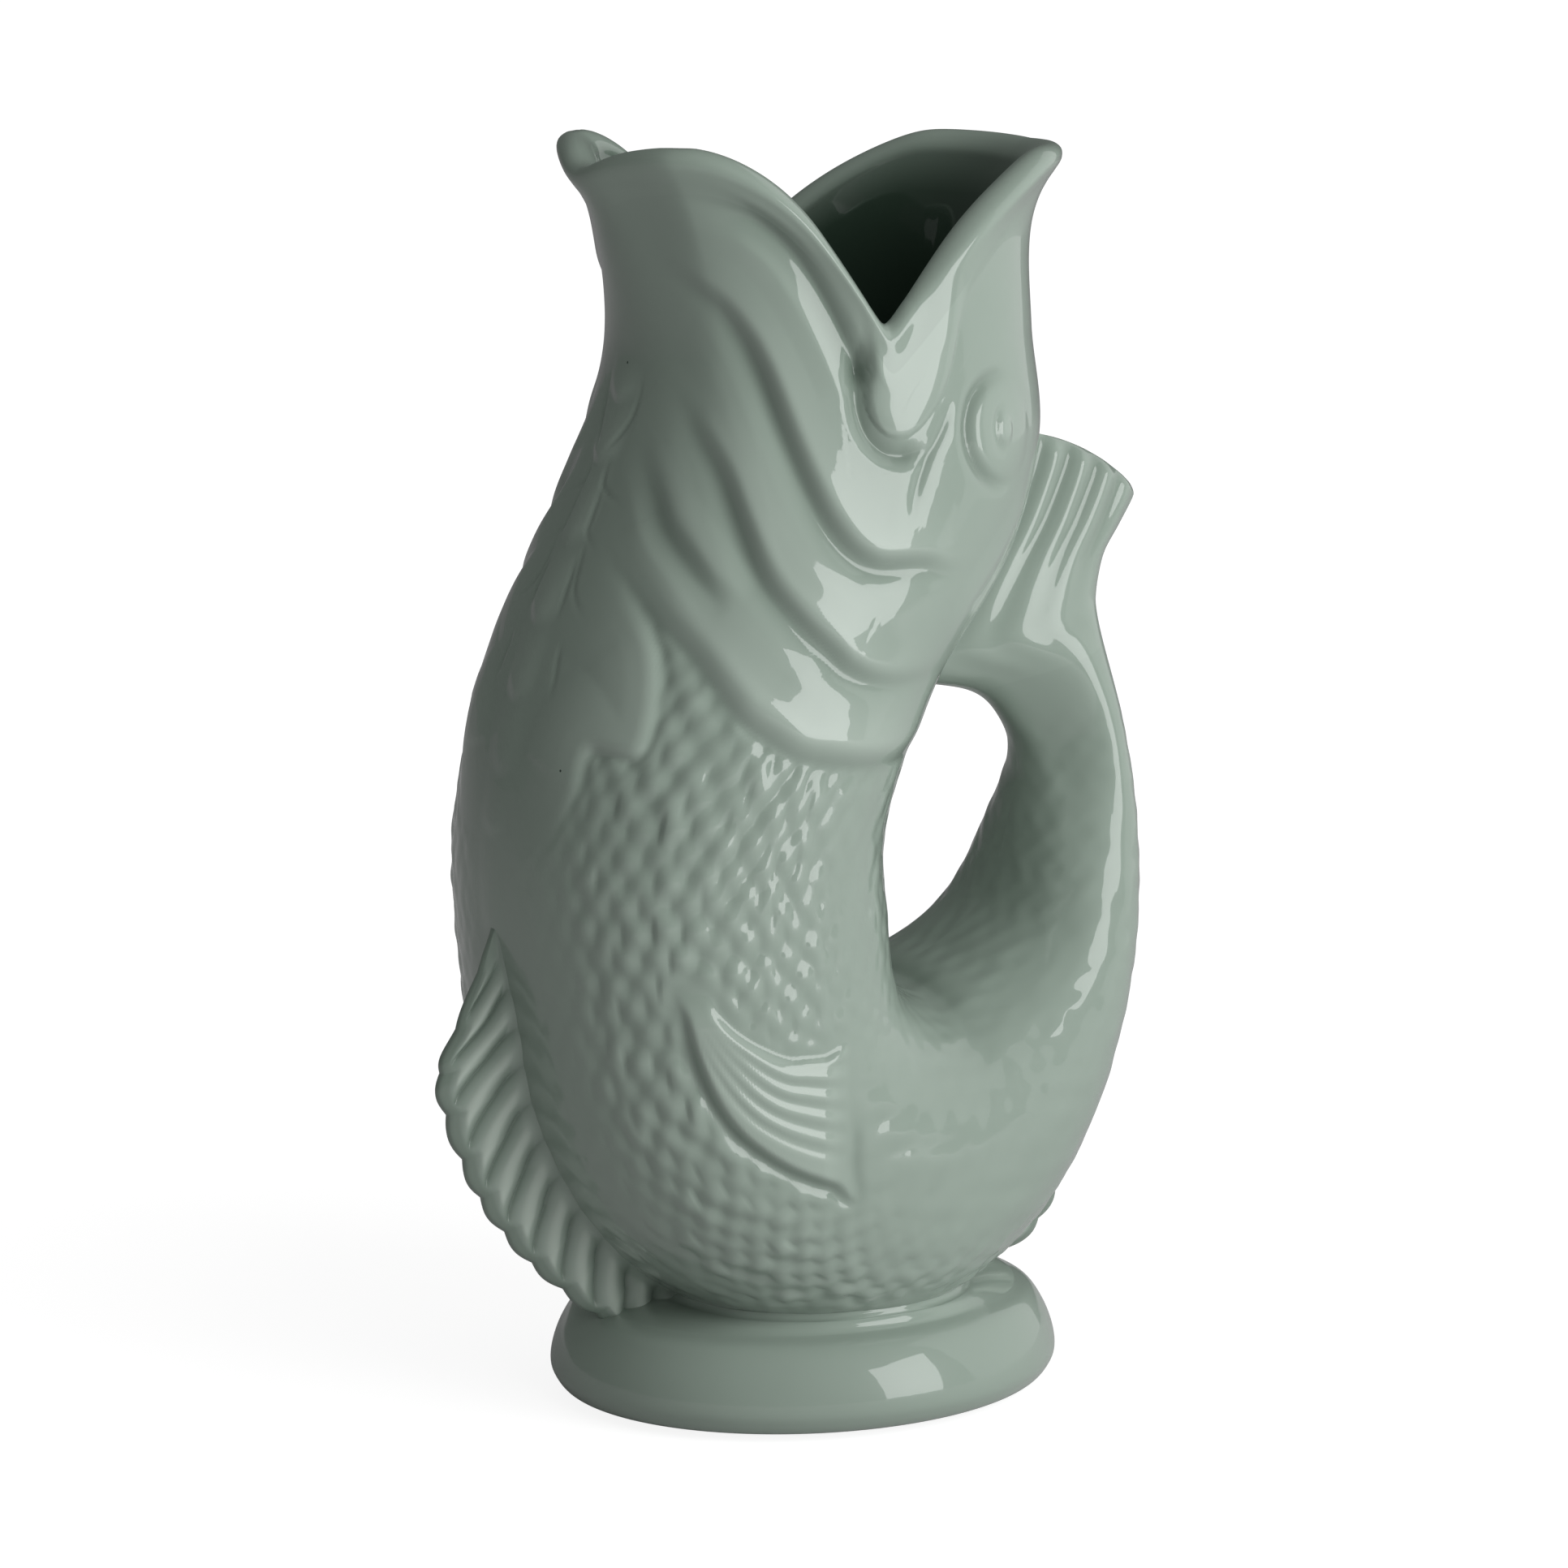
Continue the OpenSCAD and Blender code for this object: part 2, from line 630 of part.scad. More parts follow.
// A low dome that follows the skin, with a raised pupil
module eye(far) {
    degree = neck_w*PI/360;
    function eye_point(r, a, lift) =
        skin(rows_to_eye - r*cos(a)*eye_d/2/neck_pitch, eye_angle - r*sin(a)*eye_d/2/degree,
            -clearance - lift);
    function eye_lift(r) =
        eye_rise*mix(thin_share, 1, sqrt(max(0, 1 - r*r)))
            + (r < pupil_share ? eye_rise*pupil_rise_share : 0);
    top = [for (i = [eye_rings:-1:1])
        [for (j = [0:eye_sides - 1])
            eye_point(i/eye_rings, j*360/eye_sides, eye_lift(i/eye_rings))]];
    low = [for (i = [eye_rings:-1:1])
        [for (j = [0:eye_sides - 1]) eye_point(i/eye_rings, j*360/eye_sides, 0)]];
    points = concat(flat_list(top), flat_list(low), [eye_point(0, 0, eye_lift(0)), eye_point(0, 0, 0)]);
    half = eye_rings*eye_sides;
    color(glaze)
        on_flank(far)
            polyhedron(
                points = points,
                faces = concat(
                    grid_faces(eye_rings, eye_sides, 0, 1, true),
                    grid_faces(eye_rings, eye_sides, half, 1, false),
                    band_faces(eye_sides, 0, half, false),
                    cap_faces(eye_sides, half - eye_sides, 2*half, false),
                    cap_faces(eye_sides, 2*half - eye_sides, 2*half + 1, true)));
}

head_shell();
lip_bead();
shoulder_shell();
belly_shell();
base_shell();
tail_tube();
tail_fin();
foot_ring();
foot_rim();
breast_plates();
belly_fin();
vent_fin();
jaw_fold(false);  // jaw_fold_left
jaw_fold(true);  // jaw_fold_right
cheek_fold(false);  // cheek_fold_left
cheek_fold(true);  // cheek_fold_right
gill_cover(false);  // gill_cover_left
gill_cover(true);  // gill_cover_right
breast_fin(false);  // breast_fin_left
breast_fin(true);  // breast_fin_right
rear_fin(false);  // rear_fin_left
rear_fin(true);  // rear_fin_right
eye(false);  // eye_left
eye(true);  // eye_right
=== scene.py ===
"""Glazed fish jug: the looks of every piece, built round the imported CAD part.

Shapes are worked out in millimetres and scaled to metres when a mesh is made. A place on the
body is a row (0 at the mouth, 17 at the end of the tail) and an angle round the section (0 at
the back, 180 down the breast), as in the part's own tables. The fish's relief is worked out
on the near flank and mirrored to the far one.
"""
import logging
import math
from dataclasses import dataclass, field
from enum import Enum
from typing import Any

import bpy
import numpy as np
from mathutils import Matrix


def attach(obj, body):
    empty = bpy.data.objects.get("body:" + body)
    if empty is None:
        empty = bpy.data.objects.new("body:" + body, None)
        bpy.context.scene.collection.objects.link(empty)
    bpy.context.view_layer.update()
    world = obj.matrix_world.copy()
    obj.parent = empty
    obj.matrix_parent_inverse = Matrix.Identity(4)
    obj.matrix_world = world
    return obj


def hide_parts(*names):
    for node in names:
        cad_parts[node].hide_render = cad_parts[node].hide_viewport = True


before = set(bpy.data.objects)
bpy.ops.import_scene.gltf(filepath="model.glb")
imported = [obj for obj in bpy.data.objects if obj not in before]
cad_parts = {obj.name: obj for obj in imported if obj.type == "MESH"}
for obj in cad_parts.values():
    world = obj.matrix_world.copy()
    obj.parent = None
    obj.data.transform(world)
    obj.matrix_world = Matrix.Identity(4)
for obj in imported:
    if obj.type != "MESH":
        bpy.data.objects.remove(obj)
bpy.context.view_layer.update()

log = logging.getLogger("fish_jug")
Array = np.ndarray
Table = tuple[tuple[float, ...], ...]
Range = tuple[float, float]
Colour = tuple[float, float, float]
Socket = bpy.types.NodeSocket

METRES = 0.001  # metres in a millimetre
TINY = 1e-9  # least value that is divided by
INSIDE_SHADE = -4.2  # relief that paints shade over the inside of the jug, the darkest end of the glaze's colours
BREAST = 180.0  # degrees round a section to its front edge
FULL_TURN = 2 * math.pi


class Slot(Enum):
    """Material slots of the record."""

    GLAZE = "glaze"
    BARE_CLAY = "bare_clay"


def smooth_step(low: float, high: float, value: Array) -> Array:
    """Ease from 0 at low to 1 at high.

    Args:
        low: Value where the ease starts.
        high: Value where it ends, which may lie below low.
        value: Values to ease.

    Returns:
        Shares between 0 and 1.
    """
    share = np.clip((value - low) / (high - low), 0, 1)
    return share * share * (3 - 2 * share)


def from_floor(floor: float, bounds: Range, value: Array) -> Array:
    """Ease from a floor at the first bound up to 1 at the second."""
    return floor + (1 - floor) * smooth_step(*bounds, value)


def bell(value: Array, centre: float, width: float) -> Array:
    """Return a bell curve that is 1 at its centre and about a third a width away."""
    return np.exp(-((value - centre) / width) ** 2)


def blur_kernel(reach: int, width: float) -> Array:
    """Return a blur's weights from -reach to reach, which add up to 1."""
    spread = np.exp(-0.5 * (np.arange(-reach, reach + 1) / width) ** 2)
    return spread / spread.sum()


def signed_power(value: Array, power: Array | float) -> Array:
    """Return the power of a value's size, with the value's sign."""
    return np.sign(value) * np.abs(value) ** power


def on_rows(rows: Array, place: Array) -> Array:
    """Find points on the smooth curve through the rows of a table.

    Args:
        rows: Table with one row for each station.
        place: Row numbers, whole or between rows.

    Returns:
        The table's columns at each place.
    """
    rows = np.asarray(rows, float)
    place = np.asarray(place, float)
    low = np.clip(np.floor(place), 0, len(rows) - 2).astype(int)
    share = (place - low)[..., None]
    padded = np.concatenate([2 * rows[:1] - rows[1:2], rows, 2 * rows[-1:] - rows[-2:-1]])
    before, start, end, after = (padded[low + k] for k in range(4))
    return start + share * (
        (end - before)
        + share * ((2 * before - 5 * start + 4 * end - after)
                   + share * (3 * start - before - 3 * end + after))) / 2


def on_share(rows: Array, share: Array) -> Array:
    """Find points at a share of the way through a table's rows."""
    return on_rows(rows, np.asarray(share, float) * (len(rows) - 1))


def unit(vectors: Array) -> Array:
    """Scale vectors to a length of 1."""
    return vectors / np.maximum(np.linalg.norm(vectors, axis=-1, keepdims=True), TINY)


def toward(azimuth: float, elevation: float) -> Array:
    """Find a direction seen from the jug.

    Args:
        azimuth: Degrees from the near flank's direction towards the handle.
        elevation: Degrees above the table.

    Returns:
        A vector of length 1.
    """
    turn, lift = math.radians(azimuth), math.radians(elevation)
    return np.array([math.sin(turn) * math.cos(lift), -math.cos(turn) * math.cos(lift),
                     math.sin(lift)])


@dataclass(frozen=True)
class JugSizes:
    """Sizes of the jug in millimetres and its tables of shares, the same as the part's.

    A table's row is one station of the body: its outer edge and its inner edge as shares of
    body_l and body_h, half its width as a share of the table's width, and its squareness.
    """

    body_h: float = 220
    body_l: float = 130
    body_w: float = 91
    neck_w: float = 73
    wall: float = 4.5
    mouth_dip: float = 34
    lip_h: float = 5
    lip_w: float = 7
    handle_w: float = 41
    fan_l: float = 40
    foot_l: float = 99
    foot_w: float = 87
    foot_h: float = 19
    foot_ring_w: float = 8
    foot_back_share: float = 0.0188
    station_share: float = 0.09
    neck_rows: Table = (
        (-0.368, 0.995, 0.39, 0.995, 0.455, 2.1), (-0.316, 0.92, 0.336, 0.92, 0.465, 2.1),
        (-0.285, 0.82, 0.33, 0.835, 0.5, 2.1))
    trunk_rows: Table = (
        (-0.335, 0.72, 0.34, 0.745, 0.44, 2.1), (-0.418, 0.615, 0.285, 0.65, 0.47, 2.15),
        (-0.48, 0.505, 0.15, 0.545, 0.49, 2.2), (-0.505, 0.4, 0.06, 0.435, 0.495, 2.3),
        (-0.49, 0.29, 0.055, 0.35, 0.5, 2.4), (-0.455, 0.18, 0.065, 0.295, 0.5, 2.5),
        (-0.355, 0.075, 0.09, 0.275, 0.495, 2.5), (-0.19, 0, 0.125, 0.265, 0.485, 2.5),
        (0.04, -0.025, 0.15, 0.265, 0.46, 2.5))
    tail_rows: Table = (
        (0.26, 0.03, 0.175, 0.275, 0.93, 2.4), (0.41, 0.13, 0.235, 0.292, 0.79, 2.3),
        (0.5, 0.26, 0.305, 0.327, 0.63, 2.2), (0.525, 0.38, 0.345, 0.395, 0.5, 2.1),
        (0.51, 0.48, 0.355, 0.455, 0.4, 2), (0.482, 0.555, 0.29, 0.515, 0.345, 2))

    @property
    def foot_x(self) -> float:
        """Distance of the foot's centre behind the origin."""
        return self.foot_back_share * self.body_l

    @property
    def neck_pitch(self) -> float:
        """Height of one row of the neck."""
        return self.station_share * self.body_h


@dataclass(frozen=True)
class Mouth:
    """Line of the mouth's rim: lowest at its two corners, high at the spout and the jaw.

    Dips are shares of the whole drop from the mouth's highest place to its corners.
    """

    corner: float = 97  # degrees round the neck
    blunt: float = 2.3  # degrees over which the corner is rounded
    spout_spread: float = 43  # degrees from the corner up to the spout's edge
    spout_power: float = 2.2
    spout_dip: float = 0.16
    jaw_spread: float = 55
    jaw_power: float = 1.3
    jaw_low: float = 0.1
    jaw_dip: float = 0.02
    jaw_ease: float = 0.01

    def dip(self, angle: Array) -> Array:
        """Find how far the rim lies below its highest place.

        Args:
            angle: Degrees round the mouth.

        Returns:
            Shares of the mouth's dip.
        """
        turn = np.where(angle > BREAST, 360 - angle, angle)
        away = np.sqrt((turn - self.corner) ** 2 + self.blunt ** 2) - self.blunt
        near_jaw = 1 - away / self.jaw_spread
        near_jaw = (near_jaw + np.sqrt(near_jaw ** 2 + self.jaw_ease)) / 2
        jaw = np.maximum(0, away - self.jaw_spread) / (self.corner - self.jaw_spread)
        spout = (np.maximum(0, away - self.spout_spread)
                 / (BREAST - self.corner - self.spout_spread))
        front = (np.maximum(0, 1 - away / self.spout_spread) ** self.spout_power
                 + self.spout_dip * smooth_step(0, 1, spout))
        rear = (self.jaw_low + (1 - self.jaw_low) * near_jaw ** self.jaw_power
                + self.jaw_dip * jaw ** 2)
        return np.where(turn > self.corner, front, rear)


@dataclass
class Skin:
    """The bent tube that the body follows, before any relief.

    A range of sides is one of cosines of the angle: 1 at the back, -1 at the breast.
    """

    sizes: JugSizes
    mouth: Mouth = field(default_factory=Mouth)
    fillet: float = 2.0  # radius of the soft joint between body and foot
    pinch: float = 0.32  # share by which the front of the mouth narrows into a spout
    pinch_sides: Range = (-0.8, -1)
    pinch_rows: Range = (2.6, 0.6)
    lean: float = 0.5  # share by which the top of the tail is thinner towards the head
    lean_sides: Range = (-0.8, 0.9)
    lean_rows: Range = (14, 16.8)
    turn_step: float = 0.3  # degrees and rows to each side that a direction is measured over
    row_step: float = 0.01

    def __post_init__(self) -> None:
        """Turn the tables of shares into stations in millimetres."""
        sizes = self.sizes
        scale = np.array([sizes.body_l, sizes.body_h, sizes.body_l, sizes.body_h])
        start = np.array([sizes.foot_x, sizes.foot_h, sizes.foot_x, sizes.foot_h])
        self.stations = np.array([
            (*(start + scale * row[:4]), row[4] * width, row[5])
            for rows, width in ((sizes.neck_rows, sizes.neck_w),
                                (sizes.trunk_rows, sizes.body_w),
                                (sizes.tail_rows, sizes.handle_w))
            for row in rows])

    def point(self, row: Array, angle: Array, depth: float = 0.0) -> Array:
        """Find points on the skin, or under it.

        Args:
            row: Row numbers along the body.
            angle: Degrees round the section.
            depth: Distance under the skin.

        Returns:
            Points in millimetres.
        """
        row, angle = np.broadcast_arrays(np.asarray(row, float), np.asarray(angle, float))
        station = on_rows(self.stations, row)
        outer, inner = station[..., 0:2], station[..., 2:4]
        half_width, squareness = station[..., 4], station[..., 5]
        half = np.linalg.norm(inner - outer, axis=-1) / 2
        middle = (inner + outer) / 2
        reach = (inner - outer) / (2 * half[..., None])
        turn = np.radians(angle)
        power = 2 / squareness
        along = (half - depth) * signed_power(np.cos(turn), power)
        across = (half_width - depth) * signed_power(np.sin(turn), power)
        across = across * (1 - self.pinch * smooth_step(*self.pinch_sides, np.cos(turn))
                           * smooth_step(*self.pinch_rows, row))
        across = across * (1 - self.lean * self.leaning(np.cos(turn))
                           * smooth_step(*self.lean_rows, row))
        floor = self.sizes.foot_h + max(depth, 0)
        above = middle[..., 1] + reach[..., 1] * along - floor
        height = floor + (above + np.sqrt(above * above + self.fillet ** 2)) / 2
        return np.stack([middle[..., 0] + reach[..., 0] * along, -across, height], axis=-1)

    def leaning(self, side: Array) -> Array:
        """Return how far a side of the tail's section counts as its thin one."""
        return smooth_step(*self.lean_sides, side)

    def normal(self, row: Array, angle: Array) -> Array:
        """Find the skin's outward directions.

        Args:
            row: Row numbers along the body.
            angle: Degrees round the section.

        Returns:
            Vectors of length 1.
        """
        round_it = (self.point(row, angle + self.turn_step)
                    - self.point(row, angle - self.turn_step))
        along = self.point(row + self.row_step, angle) - self.point(row - self.row_step, angle)
        return unit(np.cross(round_it, along))

    def rim_row(self, angle: Array) -> Array:
        """Find the row where the wall ends under the lip.

        Args:
            angle: Degrees round the mouth.

        Returns:
            Row numbers.
        """
        dip = self.sizes.mouth_dip * self.mouth.dip(angle)
        return (dip + self.sizes.lip_h) / self.sizes.neck_pitch


def column_angles(count: int, squareness: float = 2.35, samples: int = 3001) -> Array:
    """Space columns evenly round a section.

    Args:
        count: Number of columns, an even number.
        squareness: Power of the section that they are spaced on.
        samples: Number of places at which the section is measured.

    Returns:
        Angles in degrees, from 0 round to just under 360.
    """
    fine = np.radians(np.linspace(0, BREAST, samples))
    power = 2 / squareness
    line = np.stack([signed_power(np.cos(fine), power), signed_power(np.sin(fine), power)], -1)
    run = np.concatenate([[0], np.cumsum(np.linalg.norm(np.diff(line, axis=0), axis=1))])
    half = np.interp(np.linspace(0, run[-1], count // 2 + 1), run, np.degrees(fine))
    return np.concatenate([half, 360 - half[-2:0:-1]])


def sheet_normals(points: Array) -> Array:
    """Find smooth directions over a grid that closes round its columns.

    Args:
        points: The grid's points.

    Returns:
        Vectors of length 1.
    """
    along = np.gradient(points, axis=0)
    round_it = np.roll(points, -1, axis=1) - np.roll(points, 1, axis=1)
    return unit(np.cross(round_it, along))


@dataclass
class Flank:
    """Lines on the near flank, and how far points of the skin lie from them."""

    skin: Skin
    rows: Array
    angles: Array
    line_points: int = 110
    block: int = 6000  # points that are measured at once

    def __post_init__(self) -> None:
        """Find the skin's points over the near half of the body."""
        self.points = self.skin.point(self.rows, self.angles)

    def line(self, marks: Table, closed: bool = False) -> tuple[Array, Array]:
        """Trace a smooth line through marks on the flank.

        Args:
            marks: Places as (row, angle).
            closed: Whether the line comes back to its start.

        Returns:
            The line as places and as points.
        """
        table = np.array(marks, float)
        first, last = 0, len(table) - 1
        if closed:
            table = np.concatenate([table[-2:], table, table[:2]])
            first, last = 2, len(table) - 2
        places = on_rows(table, np.linspace(first, last, self.line_points))
        return places, self.skin.point(places[:, 0], places[:, 1])

    def reach(self, marks: Table, limit: float, closed: bool = False) -> tuple[Array, ...]:
        """Measure the skin's distance from a line.

        Args:
            marks: Places of the line as (row, angle).
            limit: Distance round the line's box beyond which nothing is measured.
            closed: Whether the line comes back to its start.

        Returns:
            A mask of the points within the limit's box, then for those points the
            distance, the side (1 to the left, -1 to the right) and the share along.
        """
        places, line = self.line(marks, closed)
        near = np.all((self.points > line.min(0) - limit) & (self.points < line.max(0) + limit),
                      axis=-1)
        points = self.points[near]
        start, step = line[:-1], np.diff(line, axis=0)
        facing = self.skin.normal(places[:-1, 0], places[:-1, 1])
        gaps, sides, shares = [], [], []
        for block in np.array_split(points, max(1, len(points) // self.block)):
            rel = block[:, None] - start[None]
            share = np.clip((rel * step).sum(-1) / np.maximum((step * step).sum(-1), TINY), 0, 1)
            gap = np.linalg.norm(rel - share[..., None] * step, axis=-1)
            best = gap.argmin(1)
            pick = np.arange(len(block))
            turn = (np.cross(step[best], rel[pick, best]) * facing[best]).sum(-1)
            gaps.append(gap[pick, best])
            sides.append(np.where(turn >= 0, 1.0, -1.0))
            shares.append((best + share[pick, best]) / len(start))
        return near, np.concatenate(gaps), np.concatenate(sides), np.concatenate(shares)

    def inset(self, marks: Table, limit: float) -> tuple[Array, Array]:
        """Measure how far points lie inside a closed line.

        Args:
            marks: Places of the line as (row, angle).
            limit: Distance round the line's box beyond which nothing is measured.

        Returns:
            A mask of the measured points, and their distances, below 0 outside the line.
        """
        near, gap, _, _ = self.reach(marks, limit, True)
        return near, np.where(self._within(marks, near), gap, -gap)

    def spread(self, near: Array, values: Array, rest: float = 0.0) -> Array:
        """Lay values out over the flank's grid.

        Args:
            near: Mask of the points that the values belong to.
            values: Values for those points.
            rest: Value of all other points.

        Returns:
            Values over the grid.
        """
        out = np.full(self.rows.shape, rest)
        out[near] = values
        return out

    def _within(self, marks: Table, near: Array) -> Array:
        """Tell which of the masked points lie inside a closed line.

        Args:
            marks: Places of the line as (row, angle).
            near: Mask of the points to test.

        Returns:
            True for each point inside.
        """
        places, _ = self.line(marks, True)
        row, angle = self.rows[near], self.angles[near]
        inside = np.zeros(row.shape, bool)
        for (row_a, turn_a), (row_b, turn_b) in zip(places[:-1], places[1:]):
            if turn_a != turn_b:
                cross = (turn_a > angle) != (turn_b > angle)
                inside ^= cross & (row < (row_b - row_a) * (angle - turn_a) / (turn_b - turn_a)
                                   + row_a)
        return inside


@dataclass(frozen=True)
class Crease:
    """A groove, ridge or step along an open line on the flank.

    The profile gives heights in millimetres against the distance to the left of the line.
    """

    marks: Table
    profile: Table
    fade_in: float  # shares of the line over which the crease grows and dies out
    fade_out: float
    blur: float = 0.35  # distance over which the profile's corners are rounded
    blur_reach: int = 60
    samples: int = 801

    def height(self, flank: Flank) -> Array:
        """Work out the height that the crease gives the skin.

        Args:
            flank: The near half of the skin.

        Returns:
            Heights over the flank's grid.
        """
        table = np.array(self.profile, float)
        limit = np.abs(table[:, 0]).max()
        near, gap, side, share = flank.reach(self.marks, limit)
        fine = np.linspace(-limit, limit, self.samples)
        height = np.interp(fine, table[:, 0], table[:, 1], left=0, right=0)
        kernel = blur_kernel(self.blur_reach, self.blur / (fine[1] - fine[0]))
        height = np.convolve(height, kernel, "same")
        strength = (smooth_step(0, self.fade_in, share)
                    * smooth_step(1, 1 - self.fade_out, share))
        return flank.spread(near, np.interp(gap * side, fine, height) * strength)


@dataclass(frozen=True)
class Pad:
    """A raised lobe inside a closed line."""

    marks: Table
    rise: float
    edge: float
    margin: float = 20  # room round the line's box for the skin's own bulge

    def height(self, flank: Flank) -> Array:
        """Work out the height that the lobe gives the skin.

        Args:
            flank: The near half of the skin.

        Returns:
            Heights over the flank's grid.
        """
        near, inset = flank.inset(self.marks, self.margin)
        swell = np.sqrt(1 - np.clip(1 - inset / self.edge, 0, 1) ** 2)
        return flank.spread(near, self.rise * swell)


@dataclass(frozen=True)
class RibbedFin:
    """The low rear fin: curved ribs between two lines, with a blunt rear end.

    A range that ends in _front or _rear is one of distances from that end of the fin, and
    one that ends in _across is one of shares from the low line to the top one.
    """

    low: Table
    top: Table
    rise: float = 1.35
    edge: Range = (-0.3, 1.7)  # distances inside the outline over which it rises
    rise_front: Range = (0, 7)
    least_front: float = 0.1
    rise_rear: Range = (0, 6)
    least_rear: float = 0.25
    ribs: int = 6
    groove: float = 0.4
    ribs_across: Range = (0.08, 0.3)
    ribs_front: Range = (3, 26)
    ditch: float = 0.7
    ditch_outside: float = 0.7
    ditch_width: float = 1.3
    ditch_across: Range = (0.55, 0.3)
    ditch_front: Range = (2, 15)
    ditch_rear: Range = (-2, 4)
    no_scales: Range = (-4.2, 0.2)  # distances inside the outline over which scales end
    margin: float = 14
    far: float = 99.0
    near_ends: float = 40

    def height(self, flank: Flank) -> tuple[Array, Array]:
        """Work out the height of the fin and where it covers the scales.

        Args:
            flank: The near half of the skin.

        Returns:
            Heights over the flank's grid, and the share of each point that the fin covers.
        """
        near, inset = flank.inset(self.low + self.top[::-1], self.margin)
        to_low = self._distance(flank, self.low)[near]
        to_top = self._distance(flank, self.top)[near]
        behind, before = (
            self._distance(flank, (self.low[end],) * 2 + (self.top[end],) * 2)[near]
            for end in (0, -1))
        across = to_low / np.maximum(to_low + to_top, TINY)
        wave = 0.5 + 0.5 * np.cos(FULL_TURN * self.ribs * (1 - across))
        strength = (smooth_step(*self.ribs_across, across)
                    * smooth_step(*self.ribs_front, behind))
        body = (smooth_step(*self.edge, inset)
                * from_floor(self.least_front, self.rise_front, behind)
                * from_floor(self.least_rear, self.rise_rear, before))
        ditch = (self.ditch * bell(inset, -self.ditch_outside, self.ditch_width)
                 * smooth_step(*self.ditch_across, across)
                 * smooth_step(*self.ditch_rear, before)
                 * smooth_step(*self.ditch_front, behind))
        height = body * (self.rise - self.groove * (1 - wave) * strength) - ditch
        return (flank.spread(near, height),
                flank.spread(near, smooth_step(*self.no_scales, inset)))

    def _distance(self, flank: Flank, marks: Table) -> Array:
        """Measure the distance of every point from a line.

        Args:
            flank: The near half of the skin.
            marks: Places of the line as (row, angle).

        Returns:
            Distances over the flank's grid, the same large one wherever it is far.
        """
        near, gap, _, _ = flank.reach(marks, self.near_ends)
        return flank.spread(near, gap, self.far)


@dataclass(frozen=True)
class Eye:
    """A low round eye with a groove before it and a raised pupil, in shares of its radius."""

    row: float = 2.8
    angle: float = 62
    radius: float = 10.3
    reach: float = 2.2
    rise: float = 0.5  # heights are in millimetres
    dome_power: float = 1.3
    groove: float = 1.25
    groove_place: float = 0.96
    groove_width: float = 0.14
    groove_least: float = 0.04
    groove_ahead: Range = (-0.35, 0.75)
    pupil_rise: float = 0.5
    pupil_x: float = -0.02
    pupil_z: float = 0.02
    pupil_w: float = 0.24
    pupil_h: float = 0.36
    pupil_edge: Range = (1.0, 0.35)
    pupil_cut: float = 0.4
    cut_width: float = 0.28
    cut_ahead: Range = (0.3, -0.8)

    def height(self, flank: Flank) -> Array:
        """Work out the height that the eye gives the skin.

        Args:
            flank: The near half of the skin.

        Returns:
            Heights over the flank's grid.
        """
        centre = flank.skin.point(self.row, self.angle)
        facing = flank.skin.normal(np.array(self.row), np.array(self.angle))
        rel = (flank.points - centre) / self.radius
        flat = rel - (rel * facing).sum(-1)[..., None] * facing
        gap = np.linalg.norm(flat, axis=-1)
        near = np.linalg.norm(rel, axis=-1) < self.reach
        dome = self.rise * np.clip(1 - gap ** 2, 0, 1) ** self.dome_power
        ring = (self.groove * bell(gap, self.groove_place, self.groove_width)
                * from_floor(self.groove_least, self.groove_ahead, -flat[..., 0]))
        side = (flat[..., 0] - self.pupil_x) / self.pupil_w
        pupil = np.hypot(side, (flat[..., 2] - self.pupil_z) / self.pupil_h)
        lump = self.pupil_rise * smooth_step(*self.pupil_edge, pupil)
        cut = (self.pupil_cut * bell(pupil, 1, self.cut_width)
               * smooth_step(*self.cut_ahead, side))
        return np.where(near, dome - ring + lump - cut, 0)


